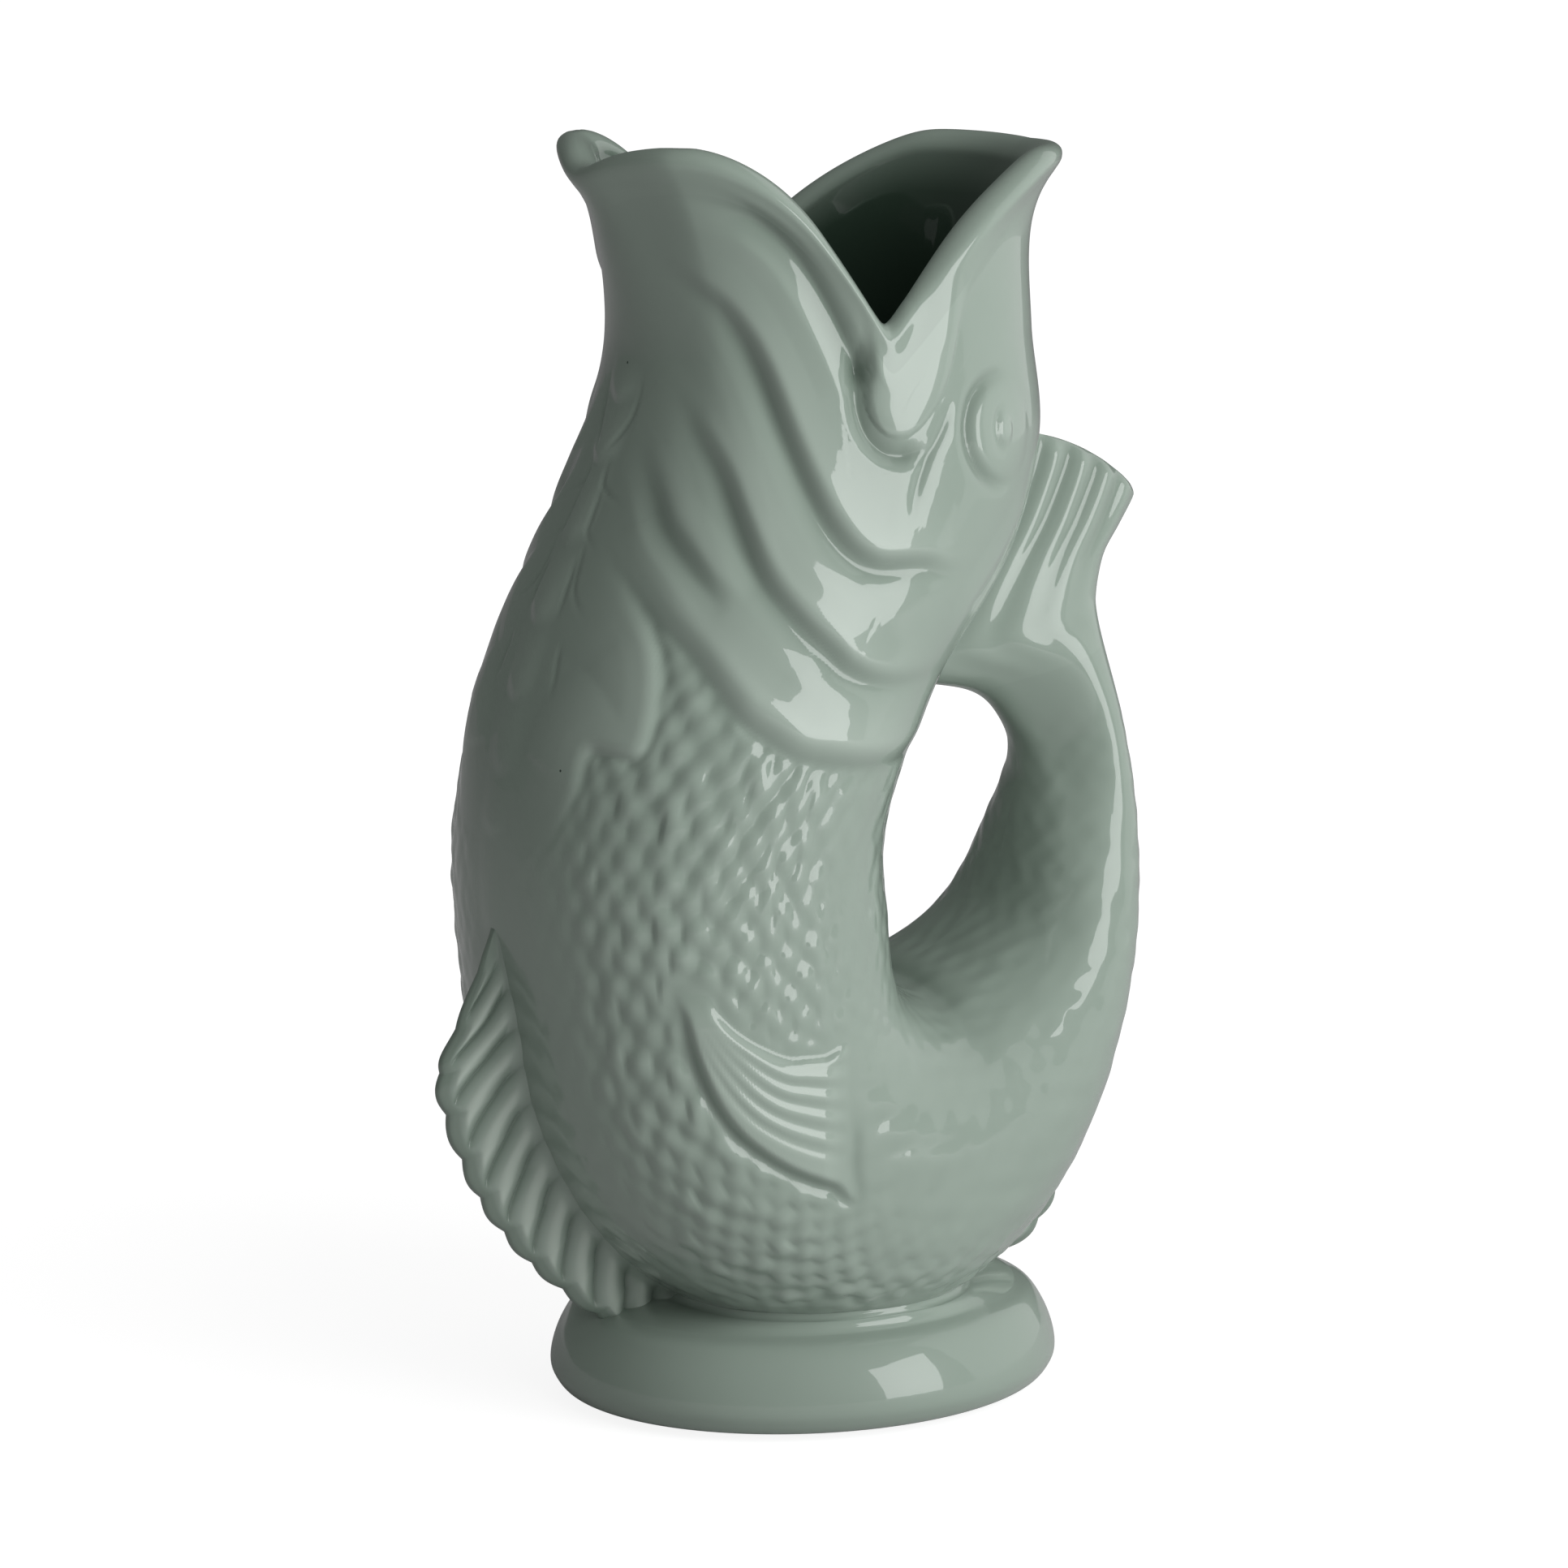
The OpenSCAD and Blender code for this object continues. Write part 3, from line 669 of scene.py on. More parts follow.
@dataclass(frozen=True)
class Scales:
    """Rounded pads in staggered rows over the body below the gill covers."""

    pitch_round: float = 5.5
    pitch_down: float = 4.7
    widest_row: float = 7.5  # row that pitch_round is measured on
    track: float = 122  # angle that pitch_down is measured along, from start_row
    start_row: float = 6
    tighten: float = 0.3  # share by which the pitch shrinks over tight_rows
    tight_rows: Range = (8, 9.6)
    rise: float = 0.7
    sunk: float = 0.4
    pad_round: float = 0.62  # reach of a pad in pitches
    pad_down: float = 0.95
    pad_power: float = 0.9
    least_pad: float = 0.65
    pad_spread: float = 0.7
    jitter: float = 0.34
    dice_size: int = 256
    above_foot: Range = (1.5, 8)
    breast_fade: Range = (160, 138)
    least_breast: float = 0.16
    breast_end: Range = (176, 166)
    back_fade: Range = (66, 104)
    back_share: float = 0.75
    back_shift: float = 16  # degrees by which the fade moves over back_shift_rows
    back_shift_rows: Range = (7.2, 8.2)
    upper_rows: Range = (8.6, 7.6)
    upper_share: float = 0.17
    least_share: float = 0.08
    tail_fade: Range = (11.2, 8.6)
    tail_slant: float = 0.05  # rows by which that fade moves for each degree
    mottle: float = 0.055
    dents: int = 24
    dent_least: float = 3.4
    dent_most: float = 8.0
    mottle_start: Range = (6, 10)
    mottle_end: Range = (17, 15.5)
    mottle_foot: Range = (1, 6)
    seed: int = 5

    def height(self, flank: Flank, cover: Array) -> Array:
        """Work out the height that the scales give the skin.

        Args:
            flank: The near half of the skin.
            cover: Share of each point that other forms cover.

        Returns:
            Heights over the flank's grid.
        """
        points, row, angle = flank.points, flank.rows, flank.angles
        run = self._length(points, 1, int(np.abs(angle[0] - 90).argmin()))
        down = self._length(points, 0, int(np.abs(row[:, 0] - self.start_row).argmin()))
        widest = int(np.abs(row[:, 0] - self.widest_row).argmin())
        across = np.broadcast_to(run[widest] / self.pitch_round, run.shape)
        track = down[:, int(np.abs(angle[0] - self.track).argmin())][:, None]
        tight = 1 - self.tighten * smooth_step(*self.tight_rows, row.mean(axis=1))[:, None]
        step = np.diff(track, axis=0, prepend=track[:1]) / tight
        along = np.cumsum(step, axis=0) / self.pitch_down + 0 * down
        level = points[..., 2] - flank.skin.sizes.foot_h
        fade = (1 - cover) * self._strength(row, angle) * smooth_step(*self.above_foot, level)
        dents = (self._mottling(points) * (1 - cover) * smooth_step(*self.mottle_start, row)
                 * smooth_step(*self.mottle_end, row) * smooth_step(*self.mottle_foot, level))
        return self.rise * (self._pads(across, along) - self.sunk) * fade + self.mottle * dents

    def _pads(self, across: Array, along: Array) -> Array:
        """Shape uneven pads in staggered rows.

        Args:
            across: Distances round the body, in pitches.
            along: Distances down the body, in pitches.

        Returns:
            Heights of the pads, mostly below 1.
        """
        dice = np.random.default_rng(self.seed).uniform(size=(3, self.dice_size, self.dice_size))
        pads = np.zeros(along.shape)
        for odd in (0, 1):
            line = 2 * np.round((along - odd) / 2) + odd
            column = np.round(across - 0.5 * odd)
            cell = (line.astype(int) % self.dice_size, column.astype(int) % self.dice_size)
            side = across - 0.5 * odd - column + self.jitter * (dice[1][cell] - 0.5)
            end = along - line + self.jitter * (dice[2][cell] - 0.5)
            gap = np.clip(np.hypot(side / self.pad_round, end / self.pad_down), 0, 1)
            pads += ((self.least_pad + self.pad_spread * dice[0][cell])
                     * (0.5 + 0.5 * np.cos(math.pi * gap)) ** self.pad_power)
        return pads

    def _strength(self, row: Array, angle: Array) -> Array:
        """Tell how crisp the scales are: worn at the back, the breast and towards the tail.

        Args:
            row: Row numbers along the body.
            angle: Degrees round the section.

        Returns:
            Shares of the scales' height.
        """
        shift = self.back_shift * smooth_step(*self.back_shift_rows, row)
        worn = (self.least_share + self.upper_share * smooth_step(*self.upper_rows, row)
                + self.back_share * smooth_step(*self.back_fade, angle - shift))
        return (worn * from_floor(self.least_breast, self.breast_fade, angle)
                * smooth_step(*self.breast_end, angle)
                * smooth_step(*self.tail_fade, row + (90 - angle) * self.tail_slant))

    def _mottling(self, points: Array) -> Array:
        """Add up waves in random directions, as soft dents in the clay.

        Args:
            points: Points of the skin.

        Returns:
            Heights with a spread of 1.
        """
        rng = np.random.default_rng(self.seed + 1)
        uneven = np.zeros(points.shape[:2])
        for _ in range(self.dents):
            heading = unit(rng.normal(size=3)) / rng.uniform(self.dent_least, self.dent_most)
            uneven += np.sin(FULL_TURN * (points @ heading + rng.uniform()))
        return uneven * math.sqrt(2 / self.dents)

    def _length(self, points: Array, axis: int, start: int) -> Array:
        """Measure lengths over a grid along one axis.

        Args:
            points: The grid's points.
            axis: Axis to measure along.
            start: Row or column that the lengths are counted from.

        Returns:
            Lengths over the grid, below 0 before the start.
        """
        step = np.linalg.norm(np.diff(points, axis=axis), axis=-1)
        length = np.insert(np.cumsum(step, axis=axis), 0, 0, axis=axis)
        return length - np.take(length, [start], axis=axis)


@dataclass(frozen=True)
class BreastPlates:
    """Overlapping plates down the breast, with a few fine cracks beside them."""

    ends: tuple[float, ...] = (1.9, 2.45, 2.95, 3.6, 4.2, 4.75, 5.3, 5.8, 6.65)
    rise: float = 1.1
    width: float = 6.0
    slant: float = 0.012  # rows by which a plate's end moves for each degree
    least_saw: float = 0.25
    saw_power: float = 0.8
    saw_end: Range = (1.0, 0.72)
    front: float = 130
    start_fade: Range = (1.9, 2.4)
    end_fade: Range = (6.9, 6.5)
    low_fade: Range = (5.2, 4.2)
    least_low: float = 0.3
    crack: Table = ((-0.9, 0), (0, -0.4), (0.9, 0))
    crack_fade: float = 0.4
    cracks: tuple[Table, ...] = (
        ((2.1, 171), (2.45, 172), (2.65, 175), (2.85, 179)),
        ((2.8, 176), (3.0, 176), (3.1, 173.5), (3.2, 164)),
        ((2.84, 176.5), (3.12, 175.5), (3.32, 175), (3.44, 174), (3.6, 166)),
        ((3.44, 174), (3.66, 172.5), (3.88, 170), (4.08, 162)),
        ((3.54, 175), (3.74, 174), (3.92, 173.5), (4.1, 173.5)),
        ((4.2, 169), (4.34, 168.5), (4.5, 167.5), (4.7, 167)))

    def height(self, flank: Flank) -> Array:
        """Work out the height that the plates give the skin.

        Args:
            flank: The near half of the skin.

        Returns:
            Heights over the flank's grid.
        """
        ends = np.array(self.ends)
        row = flank.rows + self.slant * (BREAST - flank.angles)
        index = np.clip(np.searchsorted(ends, row) - 1, 0, len(ends) - 2)
        share = np.clip((row - ends[index]) / (ends[index + 1] - ends[index]), 0, 1)
        saw = (self.least_saw + (1 - self.least_saw) * share ** self.saw_power
               * smooth_step(*self.saw_end, share))
        profile = np.clip(1 - (flank.points[..., 1] / self.width) ** 2, 0, 1) ** 2
        fade = (smooth_step(*self.start_fade, flank.rows)
                * smooth_step(*self.end_fade, flank.rows)
                * from_floor(self.least_low, self.low_fade, flank.rows))
        ridge = np.where(flank.angles > self.front, self.rise * saw * profile * fade, 0)
        for marks in self.cracks:
            ridge += Crease(marks, self.crack, self.crack_fade, self.crack_fade).height(flank)
        return ridge


@dataclass
class FishRelief:
    """Every low form on the fish's skin: folds, gill cover, low fins, eye, plates and scales.

    A profile holds distances and heights in millimetres, and a line holds (row, angle).
    """

    fold_profile: Table = (
        (-12, 0), (-7, 0.4), (-4, 0.3), (-2, -0.2), (-0.4, -0.95), (0.7, -0.9), (2.6, 1.0),
        (3.9, 1.7), (6, 1.25), (9, 0.7), (12, 0.25), (15, 0))
    soft_profile: Table = ((-8, 0), (-4, 0.3), (-1.5, -0.4), (0, -0.9), (1.2, -0.5), (3.5, 0.6),
                           (5, 0.6), (9, 0))
    gill_profile: Table = ((-5, 0), (-2.4, -0.35), (-0.8, -0.5), (0.9, 0.7), (2.8, 1.75),
                           (4.2, 1.9), (7, 1.2), (10, 0.6), (15, 0))
    lip_profile: Table = ((-9, 0), (-5, 0.35), (-2.2, -0.6), (0, -1.6), (1.5, -0.5),
                          (3.5, 0.6), (6.5, 0))
    hook_profile: Table = ((-3, 0.0), (-1.2, -0.7), (0, -1.5), (1.2, -0.9), (3, 0))
    cheek_profile: Table = ((-3, 0), (-1.4, -0.2), (0, -0.7), (1.4, -0.2), (3, 0))
    leaf_profile: Table = ((-17, 0), (-11, 0.7), (-6, 1.1), (-2.2, 1.15), (-0.8, 0.8),
                           (0.3, -0.1), (1.0, -0.3), (2.8, 0))
    ridge_profile: Table = ((-5, 0), (0, 0.5), (5, 0))
    lip_groove: Table = ((0.48, 150), (0.57, 139), (0.66, 130.5), (0.78, 125), (1.05, 118.5),
                         (1.32, 114.5), (1.58, 111.5), (1.8, 109), (2.1, 105.5), (2.3, 103))
    fold_one: Table = ((1.16, 163), (1.3, 154.5), (1.44, 148.5), (1.6, 142.5), (1.8, 138),
                       (2.04, 134), (2.46, 127.5), (2.8, 121.5), (3.1, 115.5), (3.36, 109),
                       (3.62, 100.5), (3.78, 92), (3.84, 81), (3.94, 72), (3.98, 60))
    fold_two: Table = ((2.1, 163), (2.4, 154.5), (2.6, 149), (2.9, 140), (3.26, 132),
                       (3.64, 123), (3.88, 116), (4.16, 106), (4.38, 97), (4.62, 87),
                       (4.76, 75), (4.82, 60), (4.84, 45))
    fold_three: Table = ((2.6, 170), (2.98, 159.5), (3.32, 150.5), (3.58, 140.5), (3.74, 134.5),
                         (3.9, 128), (4.0, 124))
    gill_edge: Table = ((3.35, 168), (3.52, 163.5), (3.82, 149.5), (4.02, 141), (4.26, 130),
                        (4.56, 119.5), (4.78, 111.5), (4.96, 102.5), (5.12, 94.5), (5.24, 85),
                        (5.34, 72), (5.4, 58), (5.4, 35), (5.4, 0))
    jaw_hook: Table = ((1.75, 101), (1.98, 105), (2.32, 106), (2.6, 103.5), (2.8, 98),
                       (2.86, 92), (2.8, 86))
    jaw_lobe: Table = ((1.9, 99), (2.15, 103.5), (2.45, 103), (2.66, 98), (2.7, 92),
                       (2.5, 86), (2.2, 81), (1.7, 76), (1.2, 68), (1.05, 70), (1.4, 84),
                       (1.75, 93))
    lobe_rise: float = 0.9
    lobe_edge: float = 4.0
    cheek: Table = ((2.4, 80.5), (2.65, 83), (2.92, 87), (3.2, 88.5), (3.5, 88))
    head_ridge: Table = ((3.3, 40), (3.72, 47), (4.22, 57), (4.72, 55.5))
    breast_edge: Table = ((3.55, 165.5), (3.66, 160.5), (3.78, 154.5), (3.92, 149), (4.06, 144),
                          (4.22, 140), (4.4, 137), (4.62, 134.8), (4.82, 134), (4.96, 134.8),
                          (5.01, 137), (5.01, 140.5), (4.98, 145), (4.97, 149), (5.06, 150.5),
                          (5.28, 151.7), (5.52, 155.5), (5.75, 161))
    breast_fin: Table = ((3.3, 168), (3.66, 160.5), (3.92, 149), (4.22, 140), (4.62, 134.8),
                         (4.96, 134.8), (5.01, 140), (4.98, 145), (5.02, 150.5), (5.28, 151.7),
                         (5.52, 155.5), (5.75, 161), (5.7, 180), (4.6, 182), (3.4, 180))
    rear_low: Table = ((6.84, 120.5), (7.08, 119), (7.36, 117.3), (7.72, 114.3), (8.16, 110),
                       (8.54, 105), (8.96, 99.8), (9.26, 96.5), (9.48, 94))
    rear_top: Table = ((6.9, 111), (7.08, 108.5), (7.26, 104.5), (7.48, 98), (7.72, 91),
                       (7.86, 85), (8.0, 77))
    scales_below_gill: Range = (0.12, 0.02)  # rows over which the scales end under its edge
    scales_off_fin: Range = (-1.6, 0.2)
    fin_margin: float = 6
    scales: Scales = field(default_factory=Scales)
    eye: Eye = field(default_factory=Eye)
    plates: BreastPlates = field(default_factory=BreastPlates)

    def heights(self, flank: Flank) -> Array:
        """Add up all forms over the near half of the body.

        Args:
            flank: The near half of the skin.

        Returns:
            Heights in millimetres over the flank's grid.
        """
        fin, fin_cover = RibbedFin(self.rear_low, self.rear_top).height(flank)
        forms = (*self._creases(), Pad(self.jaw_lobe, self.lobe_rise, self.lobe_edge), self.eye,
                 self.plates)
        total = fin + sum(form.height(flank) for form in forms)
        return total + self.scales.height(flank, np.maximum(fin_cover, self._covered(flank)))

    def _creases(self) -> tuple[Crease, ...]:
        """Give each line its profile, its fades at both ends and its blur.

        Returns:
            The creases.
        """
        return (
            Crease(self.lip_groove, self.lip_profile, 0.45, 0.12, 0.5),
            Crease(self.fold_one, self.fold_profile, 0.42, 0.25, 0.6),
            Crease(self.fold_two, self.fold_profile, 0.4, 0.35, 0.6),
            Crease(self.fold_three, self.soft_profile, 0.35, 0.35, 0.6),
            Crease(self.gill_edge, self.gill_profile, 0.45, 0.3, 0.6),
            Crease(self.jaw_hook, self.hook_profile, 0.25, 0.2),
            Crease(self.cheek, self.cheek_profile, 0.3, 0.4),
            Crease(self.breast_edge, self.leaf_profile, 0.35, 0.2),
            Crease(self.head_ridge, self.ridge_profile, 0.3, 0.3, 1.0))

    def _covered(self, flank: Flank) -> Array:
        """Work out where the head and the breast fin leave no scales.

        Args:
            flank: The near half of the skin.

        Returns:
            Share of each point that is covered.
        """
        edge = np.array(self.gill_edge)
        order = edge[:, 1].argsort()
        limit = np.interp(flank.angles, edge[order, 1], edge[order, 0])
        above = smooth_step(*self.scales_below_gill, flank.rows - limit)
        near, inset = flank.inset(self.breast_fin, self.fin_margin)
        return np.maximum(above, flank.spread(near, smooth_step(*self.scales_off_fin, inset)))


class NodeSet:
    """The nodes of a material or world, each added with its values and links in one step."""

    def __init__(self, owner: bpy.types.Material | bpy.types.World) -> None:
        """Start with an empty tree.

        Args:
            owner: Material or world that the nodes belong to.
        """
        owner.use_nodes = True
        self.tree = owner.node_tree
        self.tree.nodes.clear()

    def add(self, kind: str, inputs: dict[str | int, Any] | None = None,
            **settings: str) -> bpy.types.Node:
        """Add a node.

        Args:
            kind: Type of the node, without ShaderNode in front.
            inputs: For each socket, its value or the other node's socket that feeds it.
            settings: Settings of the node itself.

        Returns:
            The node.
        """
        node = self.tree.nodes.new("ShaderNode" + kind)
        for name, value in settings.items():
            setattr(node, name, value)
        for name, value in (inputs or {}).items():
            if isinstance(value, Socket):
                self.tree.links.new(value, node.inputs[name])
            else:
                node.inputs[name].default_value = value
        return node

    def ramp(self, share: Socket, stops: tuple[tuple[float, Colour], ...]) -> Socket:
        """Add a colour ramp.

        Args:
            share: Socket that picks the place on the ramp.
            stops: Places and colours, in order.

        Returns:
            The ramp's colour.
        """
        node = self.add("ValToRGB", {"Fac": share})
        elements = node.color_ramp.elements
        for element, (place, colour) in zip(elements, (stops[0], stops[-1])):
            element.position, element.color = place, (*colour, 1)
        for place, colour in stops[1:-1]:
            elements.new(place).color = (*colour, 1)
        return node.outputs["Color"]

    def seen(self) -> Socket:
        """Tell which rays see the white background.

        Returns:
            A socket: 1 for camera and transmission rays, 0 for the rest.
        """
        rays = self.add("LightPath").outputs
        return self.add("Math", {0: rays["Is Camera Ray"], 1: rays["Is Transmission Ray"]},
                        operation="MAXIMUM").outputs[0]


@dataclass(frozen=True)
class SeaGlaze:
    """Grey-green gloss glaze: darker where it pools, thinner and paler on the ridges. These tones
    also paint shade into hollows and light onto ridges, and its darkest colour paints shade
    inside the jug.
    """

    name: str = "sea_glaze"
    # painted shade: the colour at the relief of the jug's inside, which is dark because it is in
    # shade
    inside: Colour = (0.035, 0.060, 0.042)
    # where the glaze pools in hollows, and painted shade there
    pooled_and_shaded: Colour = (0.165, 0.212, 0.176)
    plain: Colour = (0.262, 0.323, 0.277)
    # where the glaze runs thin on ridges, and painted light there
    thin: Colour = (0.335, 0.400, 0.350)
    # painted light: the palest stop, reached mostly on the belly fin's petals to lighten them
    bare: Colour = (0.46, 0.53, 0.47)
    places: tuple[float, ...] = (0.0, 0.35, 0.567, 0.833, 1.0)  # of those colours on the ramp
    highest: float = 3.0  # relief in millimetres at the ramp's end
    cloud_scale: float = 28
    cloud_detail: float = 3
    cloud_change: float = 0.06
    speck: Colour = (0.03, 0.045, 0.035)
    speck_scale: float = 85
    speck_size: float = 0.022
    speck_share: float = 0.10
    roughness: float = 0.3
    roughness_change: float = 0.05
    peel_scale: float = 150
    peel_detail: float = 1.5
    peel_strength: float = 0.3
    peel_depth: float = 0.00012
    ior: float = 1.5
    specular: float = 0.15
    coat: float = 1.0
    coat_roughness: float = 0.03

    def material(self) -> bpy.types.Material:
        """Build the glaze from noise, the relief's height and a gloss coat.

        Returns:
            The glaze's material.
        """
        made = bpy.data.materials.new(self.name)
        nodes = NodeSet(made)
        place = nodes.add("TexCoord").outputs["Object"]
        # The relief attribute sets the colour: darker in hollows and paler on ridges, which
        # paints shade and light there; the inside's value paints shade over the inside.
        relief = nodes.add("Attribute", attribute_name="relief").outputs["Fac"]
        pooling_and_painted_shade = nodes.add("MapRange", {"Value": relief, "From Min": INSIDE_SHADE,
                                      "From Max": self.highest})
        colours = (self.inside, self.pooled_and_shaded, self.plain, self.thin, self.bare)
        colour = nodes.ramp(pooling_and_painted_shade.outputs["Result"], tuple(zip(self.places, colours)))
        cloud = nodes.add("TexNoise", {"Vector": place, "Scale": self.cloud_scale,
                                       "Detail": self.cloud_detail}).outputs["Fac"]
        cloudy = nodes.add("MapRange", {"Value": cloud, "To Min": 1 - self.cloud_change,
                                        "To Max": 1 + self.cloud_change})
        shade = nodes.add("VectorMath", {0: colour, "Scale": cloudy.outputs["Result"]},
                          operation="SCALE").outputs["Vector"]
        specked = nodes.add("Mix", {"Factor": self._specks(nodes, place), "A": shade,
                                    "B": (*self.speck, 1)}, data_type="RGBA")
        rough = nodes.add("MapRange", {"Value": cloud,
                                       "To Min": self.roughness - self.roughness_change,
                                       "To Max": self.roughness + self.roughness_change})
        peel = nodes.add("TexNoise", {"Vector": place, "Scale": self.peel_scale,
                                      "Detail": self.peel_detail})
        bump = nodes.add("Bump", {"Height": peel.outputs["Fac"], "Strength": self.peel_strength,
                                  "Distance": self.peel_depth}).outputs["Normal"]
        shader = nodes.add("BsdfPrincipled", {
            "Base Color": specked.outputs["Result"], "Roughness": rough.outputs["Result"],
            "IOR": self.ior, "Specular IOR Level": self.specular, "Coat Weight": self.coat,
            "Coat Roughness": self.coat_roughness, "Normal": bump, "Coat Normal": bump})
        nodes.add("OutputMaterial", {"Surface": shader.outputs["BSDF"]})
        return made

    def _specks(self, nodes: NodeSet, place: Socket) -> Socket:
        """Strew a few fine dark specks.

        Args:
            nodes: Nodes of the glaze.
            place: Socket with the place on the piece.

        Returns:
            A socket: 1 on a speck, 0 elsewhere.
        """
        cells = nodes.add("TexVoronoi", {"Vector": place, "Scale": self.speck_scale}).outputs
        small = nodes.add("Math", {0: cells["Distance"], 1: self.speck_size},
                          operation="LESS_THAN")
        dice = nodes.add("SeparateColor", {"Color": cells["Color"]})
        few = nodes.add("Math", {0: dice.outputs["Red"], 1: self.speck_share},
                        operation="LESS_THAN")
        return nodes.add("Math", {0: small.outputs[0], 1: few.outputs[0]},
                         operation="MULTIPLY").outputs[0]


@dataclass(frozen=True)
class BareClay:
    """Unglazed earthenware, wiped clean where the foot touches the table."""

    name: str = "bare_clay"
    dark: Colour = (0.62, 0.56, 0.46)
    pale: Colour = (0.74, 0.69, 0.59)
    places: Range = (0.35, 0.65)
    grain_scale: float = 900
    grain_detail: float = 6
    bump_strength: float = 0.6
    bump_depth: float = 0.0002
    roughness: float = 0.85

    def material(self) -> bpy.types.Material:
        """Build the clay from a fine noise and its bump.

        Returns:
            The clay's material.
        """
        made = bpy.data.materials.new(self.name)
        nodes = NodeSet(made)
        place = nodes.add("TexCoord").outputs["Object"]
        grain = nodes.add("TexNoise", {"Vector": place, "Scale": self.grain_scale,
                                       "Detail": self.grain_detail}).outputs["Fac"]
        colour = nodes.ramp(grain, tuple(zip(self.places, (self.dark, self.pale))))
        bump = nodes.add("Bump", {"Height": grain, "Strength": self.bump_strength,
                                  "Distance": self.bump_depth})
        shader = nodes.add("BsdfPrincipled", {
            "Base Color": colour, "Roughness": self.roughness,
            "Normal": bump.outputs["Normal"]})
        nodes.add("OutputMaterial", {"Surface": shader.outputs["BSDF"]})
        return made


def grid_faces(rows: int, cols: int, closed: bool, cap_first: bool, cap_last: bool) -> list:
    """List the faces of a grid of points that closes round its columns.

    Args:
        rows: Number of rows.
        cols: Number of columns, an even number.
        closed: Whether the last row joins the first.
        cap_first: Whether the first row is closed across its middle.
        cap_last: Whether the last row is closed across its middle.

    Returns:
        Faces as lists of point numbers.
    """
    span = rows if closed else rows - 1
    row, col = np.meshgrid(np.arange(span), np.arange(cols), indexing="ij")
    next_row, next_col = (row + 1) % rows, (col + 1) % cols
    quads = np.stack([row * cols + col, row * cols + next_col,
                      next_row * cols + next_col, next_row * cols + col], -1)
    faces = quads.reshape(-1, 4).tolist()
    for wanted, first, flip in ((cap_first, 0, True), (cap_last, (rows - 1) * cols, False)):
        if not wanted:
            continue
        for col_a in range(cols // 2):
            ring = [col_a, col_a + 1, cols - col_a - 1, (cols - col_a) % cols]
            ring = [first + k for k in dict.fromkeys(ring)]
            faces.append(ring[::-1] if flip else ring)
    return faces


@dataclass
class Piece:
    """One mesh of the jug: its grid of points, how it closes and what it stands for."""

    name: str
    replaces: tuple[str, ...]
    points: Array
    normals: Array
    relief: Array
    slot: Slot = Slot.GLAZE
    closed: bool = False
    cap_first: bool = False
    cap_last: bool = False

    def build(self, material: bpy.types.Material) -> None:
        """Make the mesh, dress it and hand it to the frame.

        Args:
            material: Finish of the piece.
        """
        rows, cols = self.points.shape[:2]
        mesh = bpy.data.meshes.new(self.name)
        faces = grid_faces(rows, cols, self.closed, self.cap_first, self.cap_last)
        mesh.from_pydata((self.points.reshape(-1, 3) * METRES).tolist(), [], faces)
        mesh.update()
        mesh.shade_smooth()
        mesh.normals_split_custom_set_from_vertices(self.normals.reshape(-1, 3).tolist())
        # the relief also carries painted shade and light for the glaze's colour
        layer = mesh.attributes.new("relief", "FLOAT", "POINT")
        layer.data.foreach_set("value", self.relief.reshape(-1).astype(np.float32))
        mesh.materials.append(material)
        made = bpy.data.objects.new(self.name, mesh)
        bpy.context.scene.collection.objects.link(made)
        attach(made, "root")
        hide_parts(*self.replaces)
        log.info("%s: %d points, %d faces", self.name, rows * cols, len(faces))


@dataclass
class Lip:
    """The rolled lip: a smooth strip from inside the rim, over it and down to the outside."""

    sizes: JugSizes
    skin: Skin
    rows: int = 34
    rise_step: float = 0.2  # rows up the skin that its direction at the rim is taken over
    inside_drop: float = 1.7  # distance down the inside to the point that steers its start
    section: Table = (  # shares of the lip's width outwards and of its height upwards
        (-0.03, 0.35), (0.1, 0.76), (0.34, 1.0), (0.62, 0.98), (0.87, 0.74), (0.965, 0.36),
        (0.9, -0.05))
    corner: float = 88  # degrees round the neck to the mouth's corner, where it is slimmer
    corner_spread: float = 9
    corner_slimmer: float = 1.7
    neck_drop: float = 2.4  # distance under the rim where it comes back to the neck
    neck_out: float = 1.15  # distance off the neck there, and how much less at the corner
    neck_out_less: float = 0.9
    meets: tuple[int, int] = (0, 3)  # rows of the outside at the end of its curve
    shade_places: tuple[float, ...] = (1, 2.6, 4)  # points of the section, where its relief paints shade on the lip's inner side, lighter over the top
    shade: tuple[float, ...] = (-3.0, -0.6, 0.2)

    def surface(self, angles: Array, outer: Array) -> tuple[Array, Array]:
        """Roll the lip outwards over the rim.

        Args:
            angles: Degrees round the mouth.
            outer: Points of the outside, whose first rows the lip runs into.

        Returns:
            Points of the lip and their relief, which paints shade on its inner side.
        """
        rim = self.skin.rim_row(angles)
        outside = self.skin.point(rim, angles)
        inside = self.skin.point(rim, angles, self.sizes.wall)
        rise = unit(self.skin.point(rim - self.rise_step, angles) - outside)
        out = unit(outside - inside)
        near = bell(np.minimum(angles, 360 - angles), self.corner, self.corner_spread)[:, None]
        width = self.sizes.lip_w - self.corner_slimmer * near
        neck = self.skin.point(rim + self.neck_drop / self.sizes.neck_pitch, angles)
        controls = np.stack([
            inside - rise * self.inside_drop, inside,
            *(inside + out * across * width + rise * up * self.sizes.lip_h
              for across, up in self.section),
            neck + out * (self.neck_out - self.neck_out_less * near),
            *(outer[row] for row in self.meets)])
        place = np.linspace(1, len(controls) - 2, self.rows)[1:-1]
        points = on_rows(controls.reshape(len(controls), -1), place)
        shade = np.interp(place, self.shade_places, self.shade)
        return (points.reshape(len(place), len(angles), 3),
                np.repeat(shade[:, None], len(angles), axis=1))


